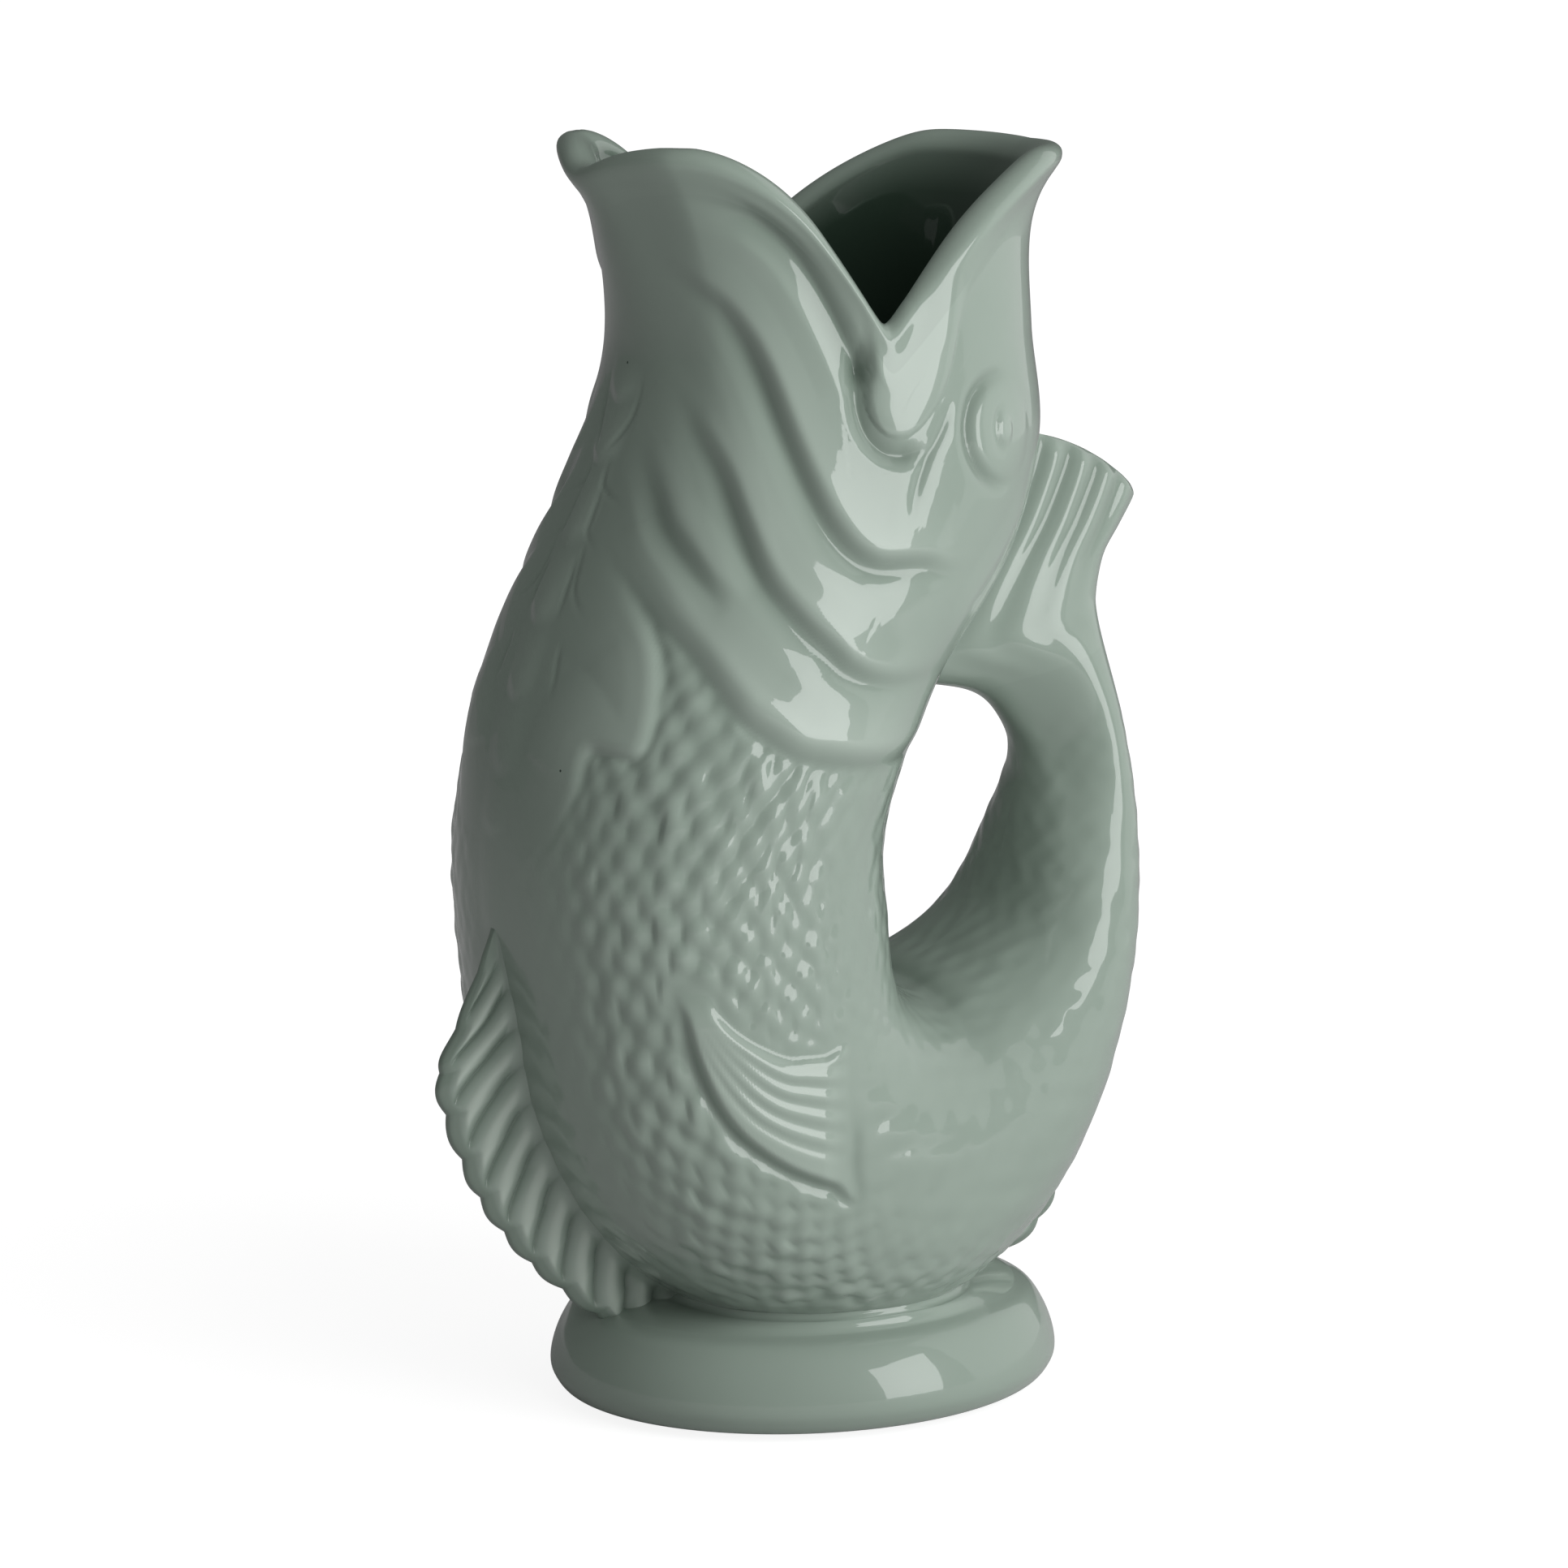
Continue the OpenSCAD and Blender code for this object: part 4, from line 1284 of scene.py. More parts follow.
@dataclass
class TailFin:
    """The ribbed fan above the grip, joined to the back of the head.

    A row of shares holds the outer edge's place from the tail's tip as shares of the fan's
    length, the row of the head that the inner edge joins and how far it has joined it, half
    the thickness as a share of the handle's width, and the bow backwards.
    """

    sizes: JugSizes
    skin: Skin
    rows: int = 92
    tip_row: float = 17
    head_gap: float = 0.1  # distance from the head's skin to the inner edge
    shares: Table = (
        (0, 0, 5.3, 0, 0.345, 0), (0.002, 0.075, 5.3, 0.4, 0.318, 0),
        (0.01, 0.15, 5.1, 1, 0.275, 0), (0.03, 0.25, 4.8, 1, 0.232, 0.01),
        (0.07, 0.36, 4.4, 1, 0.19, 0.03), (0.15, 0.47, 4, 1, 0.153, 0.05),
        (0.225, 0.58, 3.55, 1, 0.118, 0.07), (0.255, 0.64, 3.15, 1, 0.085, 0.075))
    crown: float = 0.08  # share of its height that the rounded top edge takes
    crown_rows: int = 14
    crown_thin: float = 0.02
    corner: float = 2.6  # distance by which the outer edge draws in over the crown
    squarer: float = 1.4  # squareness that the side towards the head gains
    squarer_shares: Range = (0.15, 0.7)
    ribs: float = 5.2
    rib_depth: float = 0.95
    rib_power: float = 0.5
    rib_start: Range = (0.02, 0.3)
    rib_rest: Range = (0.3, 0.95)
    rib_start_share: float = 0.25
    flare: float = 0.35  # share by which it thickens where it joins the head
    flare_reach: float = 2.2
    # tone of the fan's glaze: paler on the ribs and darker in the grooves where the glaze pools,
    # which also paints shade into them
    ridge_relief: float = 0.3
    groove_relief: float = 1.3

    def surface(self, angles: Array) -> tuple[Array, Array]:
        """Shape the fan with its ribs and its rounded top edge.

        Args:
            angles: Degrees round the section, the same as the tail's.

        Returns:
            Points and relief, from just above the tail's end to the top edge.
        """
        body = np.linspace(0, 1 - self.crown, self.rows)[1:]
        turn = np.linspace(0, math.pi / 2, self.crown_rows)[1:]
        share = np.concatenate([body, 1 - self.crown * (1 - np.sin(turn))])
        thin = np.concatenate([np.ones(len(body)), np.maximum(np.cos(turn), self.crown_thin)])
        return self._surface(share[:, None], angles[None], thin[:, None])

    def _stations(self) -> Array:
        """Turn the table of shares into stations in millimetres.

        Returns:
            Outer edge, inner edge, half thickness, bow and how far each station has joined.
        """
        tip = on_rows(self.skin.stations, np.array(self.tip_row))
        length = self.sizes.fan_l
        table = []
        for out, up, row, joined, thick, bow in self.shares:
            head = self.skin.point(row, 0.0, -self.head_gap)[[0, 2]]
            inner = tip[2:4] * (1 - joined) + head * joined
            table.append((tip[0] + out * length, tip[1] + up * length, *inner,
                          thick * self.sizes.handle_w, bow * length, joined))
        return np.array(table)

    def _surface(self, share: Array, angle: Array, thin: Array) -> tuple[Array, Array]:
        """Find points of the fan.

        Args:
            share: Share of the way up the fan.
            angle: Degrees round its section, 0 where it meets the head.
            thin: Share of its thickness that is left.

        Returns:
            Points and their relief.
        """
        row = on_share(self._stations(), share)
        outer, inner = row[..., 0:2], row[..., 2:4]
        thickness, bow, joined = (row[..., column] for column in (4, 5, 6))
        half = np.linalg.norm(inner - outer, axis=-1) / 2
        reach = (inner - outer) / (2 * half[..., None])
        turn = np.radians(angle)
        square = 2 + np.where(
            np.cos(turn) > 0, self.squarer * smooth_step(*self.squarer_shares, share), 0)
        along = signed_power(np.cos(turn), 2 / square)
        across = signed_power(np.sin(turn), 2 / square)
        wave = 0.5 - 0.5 * np.cos(math.pi * self.ribs * (1 + along))
        strength = (self.rib_start_share * smooth_step(*self.rib_start, share)
                    + (1 - self.rib_start_share) * smooth_step(*self.rib_rest, share))
        cut = strength * (1 - wave) * np.abs(across) ** self.rib_power * thin
        flare = 1 + self.flare * joined * np.exp(-(half * (1 - along)) / self.flare_reach)
        flare = flare * (1 - self.skin.lean * self.skin.leaning(along))
        thick = np.maximum(thickness * flare * thin * np.abs(across) - self.rib_depth * cut, 0)
        middle = (outer + inner) / 2
        along = np.where(along < 0, along * (1 - self.corner * (1 - thin) / half), along)
        bow = bow * (1 - along ** 2)
        x = middle[..., 0] + reach[..., 0] * half * along + reach[..., 1] * bow
        z = middle[..., 1] + reach[..., 1] * half * along - reach[..., 0] * bow
        y = -np.sign(across) * thick
        return np.stack([x, y, z], -1), self.ridge_relief - self.groove_relief * cut


@dataclass
class FishBody:
    """Head, trunk and tail: one sheet of glazed clay from inside the mouth to the tail's end."""

    sizes: JugSizes
    relief: FishRelief = field(default_factory=FishRelief)
    columns: int = 480
    parts: tuple[tuple[str, tuple[str, ...]], ...] = (
        ("fish_head", ("head_shell", "lip_bead", "jaw_fold_left", "jaw_fold_right", "eye_left",
                       "eye_right")),
        ("fish_shoulder", ("shoulder_shell", "cheek_fold_left", "cheek_fold_right",
                           "gill_cover_left", "gill_cover_right", "breast_fin_left",
                           "breast_fin_right", "breast_plates")),
        ("fish_belly", ("belly_shell", "rear_fin_left", "rear_fin_right")),
        ("fish_base", ("base_shell",)),
        ("fish_tail", ("tail_tube",)),
        ("tail_fin_fan", ("tail_fin",)))
    ends: tuple[float, ...] = (4, 6.5, 9.5, 12, 17)  # rows where those parts end
    head_rows: int = 130
    row_length: float = 0.7  # distance between the rows below the head, at spacing_angle
    spacing_angle: float = 150
    spacing_samples: int = 200
    inner_rows: int = 36
    inner_counts: tuple[int, ...] = (26, 16, 18, 16)  # rows inside the other parts, tail first
    hollow_end: float = 16.2
    below_rim: float = 4.5  # distance from the rim down to the first row of the outside
    lip_flare: float = 1.6  # distance by which the neck widens up to the lip
    flare_reach: float = 5.0
    flare_less: float = 0.9  # share by which it widens less at the corners of the mouth
    join_span: int = 3  # reaches from a join to where its rounding ends
    join_reach: int = 14  # rows, for the join of tail and fan
    join_passes: int = 260
    corner_reach: int = 6  # rows, for the join under the lip
    corner: float = 84  # degrees round the neck where the join under the lip is softened
    corner_spread: float = 16
    highest: float = 238.5  # limits that keep the relief within the solids' size
    widest: float = 47.1
    shade_rows: int = 5  # rows under the rim over which the painted shade inside gets lighter
    shade_end: float = -3.0

    def __post_init__(self) -> None:
        """Set out the skin, the lip, the fan and the columns."""
        self.skin = Skin(self.sizes)
        self.lip = Lip(self.sizes, self.skin)
        self.fan = TailFin(self.sizes, self.skin)
        self.angles = column_angles(self.columns)
        self.side = np.minimum(self.angles, 360 - self.angles)

    def pieces(self) -> list[Piece]:
        """Cut the sheet into the pieces of the body.

        Returns:
            Head, shoulder, belly, base, tail and fan.
        """
        rows, marks = self._outer_rows()
        outer, heights = self._raised(rows)
        lip, lip_relief = self.lip.surface(self.angles, outer)
        fan, fan_relief = self.fan.surface(self.angles)
        inner_marks = self._inner_marks()
        inner = self.skin.point(self._inner_rows(inner_marks), self.angles[None],
                                self.sizes.wall)
        first = len(inner) + len(lip)
        sheet = np.concatenate([inner, lip, outer, fan])
        self._soften(sheet, first + marks[-1], self.join_reach, np.ones(self.columns))
        self._soften(sheet, first, self.corner_reach,
                     bell(self.side, self.corner, self.corner_spread))
        sheet[..., 2] = np.minimum(sheet[..., 2], self.highest)
        sheet[..., 1] = np.clip(sheet[..., 1], -self.widest, self.widest)
        # painted shade: the inside gets the darkest relief, lighter over the last rows under the
        # rim; the outside's relief is its heights, so hollows get painted shade and ridges
        # painted light
        painted_inside_shade = np.full(inner.shape[:2], INSIDE_SHADE)
        painted_inside_shade[-self.shade_rows:] = np.linspace(INSIDE_SHADE, self.shade_end, self.shade_rows)[:, None]
        relief = np.concatenate([painted_inside_shade, lip_relief, heights, fan_relief])
        facing = sheet_normals(sheet)
        inside = [len(inner) - 1, *(int(np.abs(inner_marks - end).argmin())
                                    for end in self.ends[:-1]), 0]
        outside = [len(inner), *(first + mark for mark in marks)]
        made = []
        for index, (name, nodes) in enumerate(self.parts[:-1]):
            order = np.r_[inside[index + 1]:inside[index] + 1,
                          outside[index]:outside[index + 1] + 1]
            made.append(Piece(name, nodes, sheet[order], facing[order], relief[order],
                              closed=True))
        made[-1].closed, made[-1].cap_first, made[-1].cap_last = False, True, True
        end = outside[-1]
        made.append(Piece(*self.parts[-1], sheet[end:], facing[end:], relief[end:],
                          cap_first=True, cap_last=True))
        return made

    def _soften(self, sheet: Array, centre: int, reach: int, columns: Array) -> None:
        """Round off the join between two stretches of the sheet.

        Args:
            sheet: Points of the whole sheet, which are changed.
            centre: Row of the join.
            reach: Rows to each side over which the rounding fades.
            columns: Share of the rounding for each column.
        """
        low, high = centre - self.join_span * reach, centre + self.join_span * reach
        part = sheet[low:high]
        weight = bell(np.arange(low, high), centre, reach)
        weight = weight[1:-1, None, None] * columns[None, :, None]
        for _ in range(self.join_passes):
            mean = (part[:-2] + part[2:]) / 2
            part[1:-1] += 0.5 * weight * (mean - part[1:-1])

    def _outer_rows(self) -> tuple[Array, list[int]]:
        """Space the rows of the outside evenly along the breast.

        Returns:
            Row numbers for each point of the outside, and the index of each part's end.
        """
        start = self.skin.rim_row(self.angles) + self.below_rim / self.sizes.neck_pitch
        share = np.linspace(0, 1, self.head_rows + 1)[:, None]
        grids = [start[None] * (1 - share) + self.ends[0] * share]
        marks = [self.head_rows]
        for low, high in zip(self.ends[:-1], self.ends[1:]):
            places = np.linspace(low, high, self.spacing_samples)
            line = self.skin.point(places, self.spacing_angle)
            run = np.linalg.norm(np.diff(line, axis=0), axis=1).sum()
            count = int(run / self.row_length)
            steps = np.linspace(low, high, count + 1)[1:, None]
            grids.append(np.broadcast_to(steps, (count, self.columns)))
            marks.append(marks[-1] + count)
        return np.concatenate(grids), marks

    def _raised(self, rows: Array) -> tuple[Array, Array]:
        """Raise the outside by the fish's relief, the same on both flanks.

        Args:
            rows: Row numbers for each point of the outside.

        Returns:
            Points and heights over the outside.
        """
        half = self.columns // 2 + 1
        angles = np.broadcast_to(self.angles[None], rows.shape)
        near = self.relief.heights(Flank(self.skin, rows[:, :half], angles[:, :half].copy()))
        heights = np.concatenate([near, near[:, -2:0:-1]], axis=1)
        below = (rows - self.skin.rim_row(self.angles)[None]) * self.sizes.neck_pitch
        flare = self.lip_flare * np.exp(-below / self.flare_reach) * (
            1 - self.flare_less * bell(self.side, self.lip.corner, self.lip.corner_spread)[None])
        raised = (heights + flare)[..., None] * self.skin.normal(rows, angles)
        return self.skin.point(rows, angles) + raised, heights

    def _inner_marks(self) -> Array:
        """Space the rows of the inside.

        Returns:
            Row numbers from the tail's hollow up to the head, where they stay the same.
        """
        stops = (self.hollow_end, *self.ends[-2::-1])
        parts = [np.linspace(low, high, count)[1:]
                 for low, high, count in zip(stops, stops[1:], self.inner_counts)]
        head = np.full(self.inner_rows, float(self.ends[0]))
        return np.concatenate([stops[:1], *parts, head])

    def _inner_rows(self, marks: Array) -> Array:
        """Spread the last rows of the inside from the head's end up to the rim.

        Args:
            marks: Row numbers of the inside.

        Returns:
            Row numbers for each point of the inside.
        """
        rows = np.repeat(marks[:, None], self.columns, axis=1)
        share = np.linspace(0, 1, self.inner_rows + 1)[1:, None]
        rim = self.skin.rim_row(self.angles)[None]
        rows[-self.inner_rows:] = self.ends[0] * (1 - share) + rim * share
        return rows


@dataclass
class Blade:
    """A ribbed fin that stands on the midline, with a scalloped edge.

    A row of shares holds a row of the body where the fin is rooted, and how far its edge
    reaches out and down from there, as shares of its rise. A range that ends in _out is one
    of shares of the way out from the root, and one that ends in _down of the way down.
    """

    name: str
    node: str
    skin: Skin
    shares: Table
    rise: float
    thick: float
    rays: int
    scallop: float
    steps: int
    behind: bool = False  # whether it stands behind the foot
    across: int = 48
    spacing: float = 0.85  # power that crowds the points towards the edge
    buried: float = 0.12  # share of the rise that goes on inside the skin
    slant: float = 0.13
    petal: float = 1.7
    petal_power: float = 0.9
    petal_middle: float = 0.55
    root: float = 0.6  # share by which the root is thicker
    root_reach: float = 0.1
    edge_thinner: float = 0.5
    crown_start: float = 0.76
    swell_out: Range = (-0.08, 0.2)
    swell_end_out: Range = (0.9, 0.76)
    swell_down: Range = (0.04, 0.14)
    taper: float = 0.4
    taper_down: Range = (0, 0.25)
    rim_out: Range = (0.78, 0.9)
    # Tone of the fin's glaze: petals painted lighter and the gaps between them darker, the face
    # painted lighter and the rim painted darker.
    ray_light_and_shade: float = 4.4
    face_painted_light: float = 0.6
    rim_painted_shade: float = 1.2

    def piece(self) -> Piece:
        """Shape the fin from its root inside the skin out to its rounded edge.

        Returns:
            The fin.
        """
        share = np.linspace(0, 1, self.steps)[:, None]
        out = (1 + self.buried) * np.linspace(0, 1, self.across) ** self.spacing - self.buried
        out = np.concatenate([out, out[-2:0:-1]])[None]
        face = np.ones(out.shape)
        face[0, self.across:] = -1
        face[0, 0] = face[0, self.across - 1] = 0
        table = on_share(np.array(self.shares), share)
        root = self.skin.point(table[..., 0], BREAST)
        arc = np.abs(np.sin(math.pi * self.rays * share))
        reach = self.rise * (1 - self.scallop * (1 - arc))
        edge = root + np.stack([reach * table[..., 1] * np.sign(root[..., 0]), 0 * reach,
                                -reach * table[..., 2]], -1)
        inside = np.clip(out, 0, 1)
        crown = np.clip((out - self.crown_start) / (1 - self.crown_start), 0, 1)
        swell = (smooth_step(*self.swell_out, inside) * smooth_step(*self.swell_end_out, inside)
                 * smooth_step(*self.swell_down, share))
        petal = np.abs(np.sin(math.pi * self.rays * (share + self.slant * (1 - inside))))
        petal = petal ** self.petal_power
        flare = 1 + self.root * np.exp(-inside / self.root_reach)
        half = (self.thick / 2 * (1 - self.edge_thinner * inside) * flare
                * from_floor(self.taper, self.taper_down, share)
                + self.petal * (petal - self.petal_middle) * swell) * np.sqrt(1 - crown ** 2)
        points = root * (1 - out[..., None]) + edge * out[..., None]
        points[..., 1] = (face if self.behind else -face) * half
        # painted light and shade: petals lighter, gaps and rim darker
        relief = ((self.ray_light_and_shade * (petal - 0.5) + self.face_painted_light) * swell
                  - self.rim_painted_shade * smooth_step(*self.rim_out, inside))
        return Piece(self.name, (self.node,), points, sheet_normals(points), relief,
                     cap_first=True, cap_last=True)


@dataclass
class Foot:
    """The oval foot: a rounded pedestal with a hollow underneath and a wiped rim.

    Insets are distances inside the foot's widest oval.
    """

    sizes: JugSizes
    skin: Skin
    columns: int = 256
    side_rows: int = 90
    shares: Table = (  # insets and heights from the rim up, as shares of the foot's height
        (0.45, 0.03), (0.32, 0.045), (0.13, 0.1), (0.03, 0.22), (0, 0.34), (0.03, 0.52),
        (0.11, 0.72), (0.24, 0.91), (0.42, 1))
    fillet_h: float = 1.3
    fillet_w: float = 1.4
    fillet_rows: int = 12
    slope_h: float = 2.1
    slope_shares: tuple[float, ...] = (0.3, 0.6, 0.85)
    slope_power: float = 1.4
    slope_inset: float = 0.3
    least_slope: float = 1.0  # width left for the slope where the body comes near the edge
    fillet_share: float = 0.4
    buried: Table = ((8, 0.6), (3, 0.5), (0.6, 0.3))  # insets in the body, heights over the joint
    hollow_foot: Table = ((0, 0), (0.3, 0.8))  # insets from the ring and heights from its top
    hollow_roof: Table = ((1.0, -2.5), (1.6, -0.8), (3.2, 0))  # and heights from the roof
    rim_round_w: float = 0.15
    rim_round_h: float = 0.12
    body_rows: Range = (7, 13.5)
    body_samples: tuple[int, int] = (500, 721)
    level_gap: float = 0.4  # points of the body this near the joint's height count
    deepest: float = 30.0  # inset beyond which the body isn't looked for
    halvings: int = 30
    smooth_columns: int = 8
    smooth_width: float = 3

    def pieces(self) -> list[Piece]:
        """Shape the glazed foot and its bare rim.

        Returns:
            Foot and rim.
        """
        high = self.sizes.foot_h
        side = on_share(np.array(self.shares), np.linspace(1, 0, self.side_rows)) * high
        rim_out, low = self.shares[0][0] * high, self.shares[0][1] * high
        rim_in = rim_out + self.sizes.foot_ring_w
        roof = high - self.sizes.wall
        hollow = [(rim_in + inset, base + rise)
                  for table, base in ((self.hollow_foot, low), (self.hollow_roof, roof))
                  for inset, rise in table]
        outline = self._top() + [tuple(place) for place in side] + hollow
        near, far = rim_out + self.rim_round_w, rim_in - self.rim_round_w
        ring = [(rim_out, low), (rim_out, self.rim_round_h), (near, 0), (far, 0),
                (rim_in, self.rim_round_h), (rim_in, low)]
        return [self._piece("oval_foot", "foot_ring", outline, cap_first=True, cap_last=True),
                self._piece("foot_rim_wiped", "foot_rim", ring, slot=Slot.BARE_CLAY,
                            closed=True)]

    def _top(self) -> list[tuple[Array | float, float]]:
        """Shape the foot's top: from inside the body, round a fillet and down a slope.

        Returns:
            Insets and heights.
        """
        wall = self._body_inset()
        edge = self.shares[-1][0] * self.sizes.foot_h + self.slope_inset
        level = self.sizes.foot_h + self.slope_h
        crest = level + self.fillet_h
        top = [(wall + inset, crest + rise) for inset, rise in self.buried]
        for turn in np.linspace(0, math.pi / 2, self.fillet_rows):
            gap = self.fillet_w * (1 - math.cos(turn))
            least = edge + self.fillet_share * (self.fillet_w - gap) + self.least_slope
            top.append((np.maximum(wall - gap, least), crest - self.fillet_h * math.sin(turn)))
        start = top[-1][0]
        return top + [(start * (1 - share) + edge * share,
                       level - self.slope_h * share ** self.slope_power)
                      for share in self.slope_shares]

    def _body_inset(self) -> Array:
        """Find how far inside the foot's outline the body meets the soft joint.

        Returns:
            Insets for each column of the foot.
        """
        rows, angles = self.body_samples
        points = self.skin.point(np.linspace(*self.body_rows, rows)[:, None],
                                 np.linspace(0, 360, angles)[None]).reshape(-1, 3)
        level = points[:, 2] - self.sizes.foot_h - self.fillet_h - self.slope_h
        points = points[np.abs(level) < self.level_gap]
        x, y = points[:, 0] - self.sizes.foot_x, points[:, 1]
        half_l, half_w = self.sizes.foot_l / 2, self.sizes.foot_w / 2
        low, high = np.zeros(len(x)), np.full(len(x), self.deepest)
        for _ in range(self.halvings):
            inset = (low + high) / 2
            beyond = (x / (half_l - inset)) ** 2 + (y / (half_w - inset)) ** 2 > 1
            low, high = np.where(beyond, low, inset), np.where(beyond, inset, high)
        turn = np.arctan2(-y / (half_w - inset), x / (half_l - inset)) % FULL_TURN
        order = turn.argsort()
        wanted = np.linspace(0, FULL_TURN, self.columns, endpoint=False)
        found = np.interp(wanted, turn[order], inset[order], period=FULL_TURN)
        reach = self.smooth_columns
        padded = np.concatenate([found[-reach:], found, found[:reach]])
        return np.convolve(padded, blur_kernel(reach, self.smooth_width), "valid")

    def _piece(self, name: str, node: str, profile: list[tuple[Array | float, float]],
               **closing: Any) -> Piece:
        """Turn a profile into a piece of oval rows.

        Args:
            name: Name of the piece.
            node: Node that it stands for.
            profile: Insets and heights of its rows.
            closing: Slot of the piece and how it closes.

        Returns:
            The piece.
        """
        turn = np.linspace(0, FULL_TURN, self.columns, endpoint=False)
        sizes = self.sizes
        points = np.array([np.stack([
            sizes.foot_x + (sizes.foot_l / 2 - inset) * np.cos(turn),
            (inset - sizes.foot_w / 2) * np.sin(turn),
            np.full(self.columns, height)], -1) for inset, height in profile])
        return Piece(name, (node,), points, sheet_normals(points), np.zeros(points.shape[:2]),
                     **closing)


@dataclass(frozen=True)
class Softbox:
    """A rectangular lamp that faces the jug, with its place in degrees and metres."""

    name: str
    azimuth: float
    elevation: float
    distance: float
    width: float
    height: float
    power: float
    mirrored: bool = True  # whether the glaze shows its reflection
    aim: float = 0.12  # height of the jug's middle

    def hang(self) -> None:
        """Put the lamp up and turn it to the jug's middle."""
        middle = np.array([0, 0, self.aim])
        place = middle + self.distance * toward(self.azimuth, self.elevation)
        lamp = bpy.data.lights.new(self.name, "AREA")
        lamp.shape = "RECTANGLE"
        lamp.size, lamp.size_y = self.width, self.height
        lamp.energy = self.power
        made = bpy.data.objects.new(self.name, lamp)
        made.location = place
        made.visible_glossy = self.mirrored
        x, y, z = middle - place
        made.rotation_euler = (math.atan2(math.hypot(x, y), -z), 0,
                               math.atan2(y, x) - math.pi / 2)
        bpy.context.scene.collection.objects.link(made)


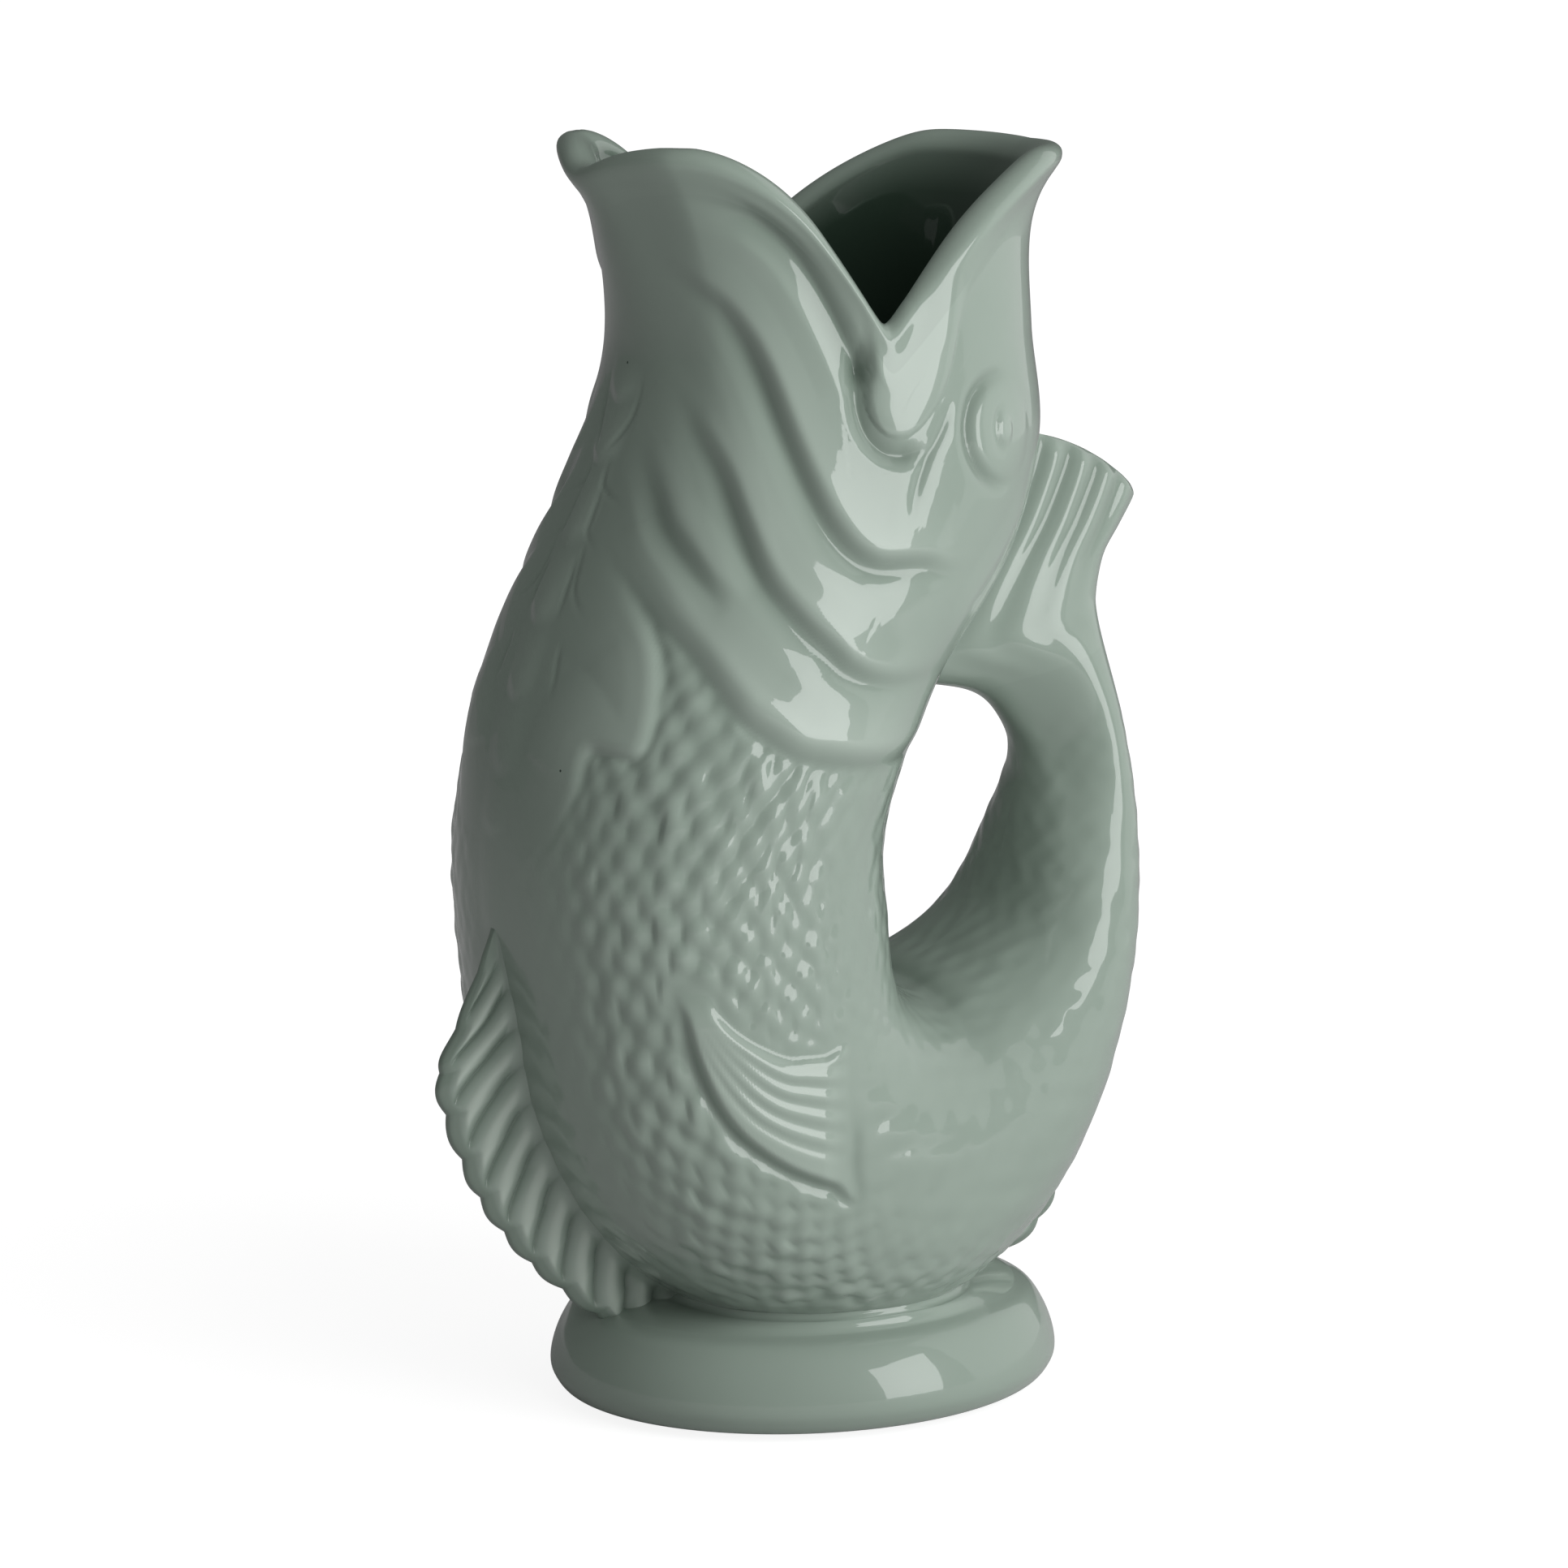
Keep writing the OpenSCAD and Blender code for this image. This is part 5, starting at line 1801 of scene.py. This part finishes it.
@dataclass
class Studio:
    """Camera, lamps, floor and background, in metres."""

    look: tuple[float, float, float] = (-0.00183, 0.0, 0.1163)
    azimuth: float = -29.0
    elevation: float = 11.0
    distance: float = 1.2
    lens: float = 146.94
    sensor: float = 36
    clip_end: float = 60
    ambient: float = 0.22
    reflected: float = 0.12  # strength and colour of what the glaze mirrors round the lamps
    reflected_colour: Colour = (0.86, 1, 0.9)
    paper: float = 0.66  # grey of the floor as the jug sees it, and as the camera does
    seen_paper: float = 0.3
    floor_reach: float = 14.0
    glow_from: Range = (0.12, 0.6)  # distances over which the floor's glow rises to white
    glow: Range = (0.88, 1.0)
    lamps: tuple[Softbox, ...] = (
        Softbox("key_softbox", 27, 12, 1.0, 0.46, 0.64, 3.6),
        Softbox("side_panel", 84, 22, 1.35, 1.6, 1.6, 4.5),
        Softbox("broad_fill", 14, 26, 1.3, 1.2, 1.2, 10.0, False))

    def build(self) -> None:
        """Set up everything round the jug."""
        self._camera()
        self._floor()
        self._world()
        for lamp in self.lamps:
            lamp.hang()

    def _camera(self) -> None:
        """Place the camera at the photograph's viewing angle."""
        lens = bpy.data.cameras.new("camera")
        lens.lens, lens.sensor_width, lens.clip_end = self.lens, self.sensor, self.clip_end
        camera = bpy.data.objects.new("camera", lens)
        camera.location = (np.array(self.look)
                           + self.distance * toward(self.azimuth, self.elevation))
        camera.rotation_euler = (math.radians(90 - self.elevation), 0,
                                 math.radians(self.azimuth))
        bpy.context.scene.collection.objects.link(camera)
        bpy.context.scene.camera = camera

    def _floor(self) -> None:
        """Lay a wide pale floor that keeps the jug's shadow."""
        mesh = bpy.data.meshes.new("floor")
        reach = self.floor_reach
        mesh.from_pydata([(-reach, -reach, 0), (reach, -reach, 0), (reach, reach, 0),
                          (-reach, reach, 0)], [], [(0, 1, 2, 3)])
        floor = bpy.data.objects.new("floor", mesh)
        bpy.context.scene.collection.objects.link(floor)
        made = bpy.data.materials.new("pale_floor")
        nodes = NodeSet(made)
        place = nodes.add("TexCoord").outputs["Object"]
        far = nodes.add("VectorMath", {0: place}, operation="LENGTH").outputs["Value"]
        spread = nodes.add("MapRange", {
            "Value": far, "From Min": self.glow_from[0], "From Max": self.glow_from[1],
            "To Min": self.glow[0], "To Max": self.glow[1]})
        glow = nodes.add("Emission", {"Strength": spread.outputs["Result"]})
        paper, seen = (nodes.add("BsdfDiffuse", {"Color": (grey, grey, grey, 1)})
                       for grey in (self.paper, self.seen_paper))
        both = nodes.add("AddShader", {0: seen.outputs[0], 1: glow.outputs[0]})
        pick = nodes.add("MixShader", {"Fac": nodes.seen(), 1: paper.outputs[0],
                                       2: both.outputs[0]})
        nodes.add("OutputMaterial", {"Surface": pick.outputs[0]})
        mesh.materials.append(made)

    def _world(self) -> None:
        """Give a white background and a dim even light."""
        world = bpy.data.worlds.new("studio")
        bpy.context.scene.world = world
        nodes = NodeSet(world)
        white, dim, mirrored = (
            nodes.add("Background", {"Strength": strength, "Color": (*colour, 1)}).outputs[0]
            for strength, colour in ((1, (1, 1, 1)), (self.ambient, (1, 1, 1)),
                                     (self.reflected, self.reflected_colour)))
        glossy = nodes.add("LightPath").outputs["Is Glossy Ray"]
        light = nodes.add("MixShader", {"Fac": glossy, 1: dim, 2: mirrored})
        mix = nodes.add("MixShader", {"Fac": nodes.seen(), 1: light.outputs[0], 2: white})
        nodes.add("OutputWorld", {"Surface": mix.outputs[0]})


def midline_fins(skin: Skin) -> list[Blade]:
    """Describe the two fins that stand on the jug's midline.

    Args:
        skin: Skin that they are rooted in.

    Returns:
        The belly fin and the vent fin.
    """
    belly = Blade(
        "belly_fin_blade", "belly_fin", skin,
        ((6.5, 0.02, 0), (6.8, 0.27, 0.04), (7.1, 0.62, 0.23), (7.4, 0.89, 0.27),
         (7.7, 0.89, 0.31), (8, 0.82, 0.41), (8.3, 0.78, 0.44), (8.6, 0.71, 0.44),
         (8.9, 0.64, 0.44), (9.2, 0.57, 0.44), (9.5, 0.52, 0.46), (9.75, 0.47, 0.44),
         (10.05, 0.4, 0.4)),
        rise=17, thick=7, rays=12, scallop=0.07, steps=420)
    vent = Blade(
        "vent_fin_blade", "vent_fin", skin,
        ((11.95, 0.97, 0.5), (12.15, 1, 0.6), (12.35, 0.98, 0.68), (12.55, 0.86, 0.62),
         (12.75, 0.54, 0.46), (12.9, 0.22, 0.18), (12.97, 0.05, 0.02)),
        rise=12, thick=5, rays=3, scallop=0.1, steps=160, behind=True)
    return [belly, vent]


def main() -> None:
    logging.basicConfig(level=logging.INFO, format="%(message)s")
    bpy.context.scene.view_settings.view_transform = "Standard"
    Studio().build()
    finishes = {Slot.GLAZE: SeaGlaze().material(), Slot.BARE_CLAY: BareClay().material()}
    sizes = JugSizes()
    body = FishBody(sizes)
    pieces = [*body.pieces(), *(fin.piece() for fin in midline_fins(body.skin)),
              *Foot(sizes, body.skin).pieces()]
    for piece in pieces:
        piece.build(finishes[piece.slot])


if __name__ == "__main__":
    main()
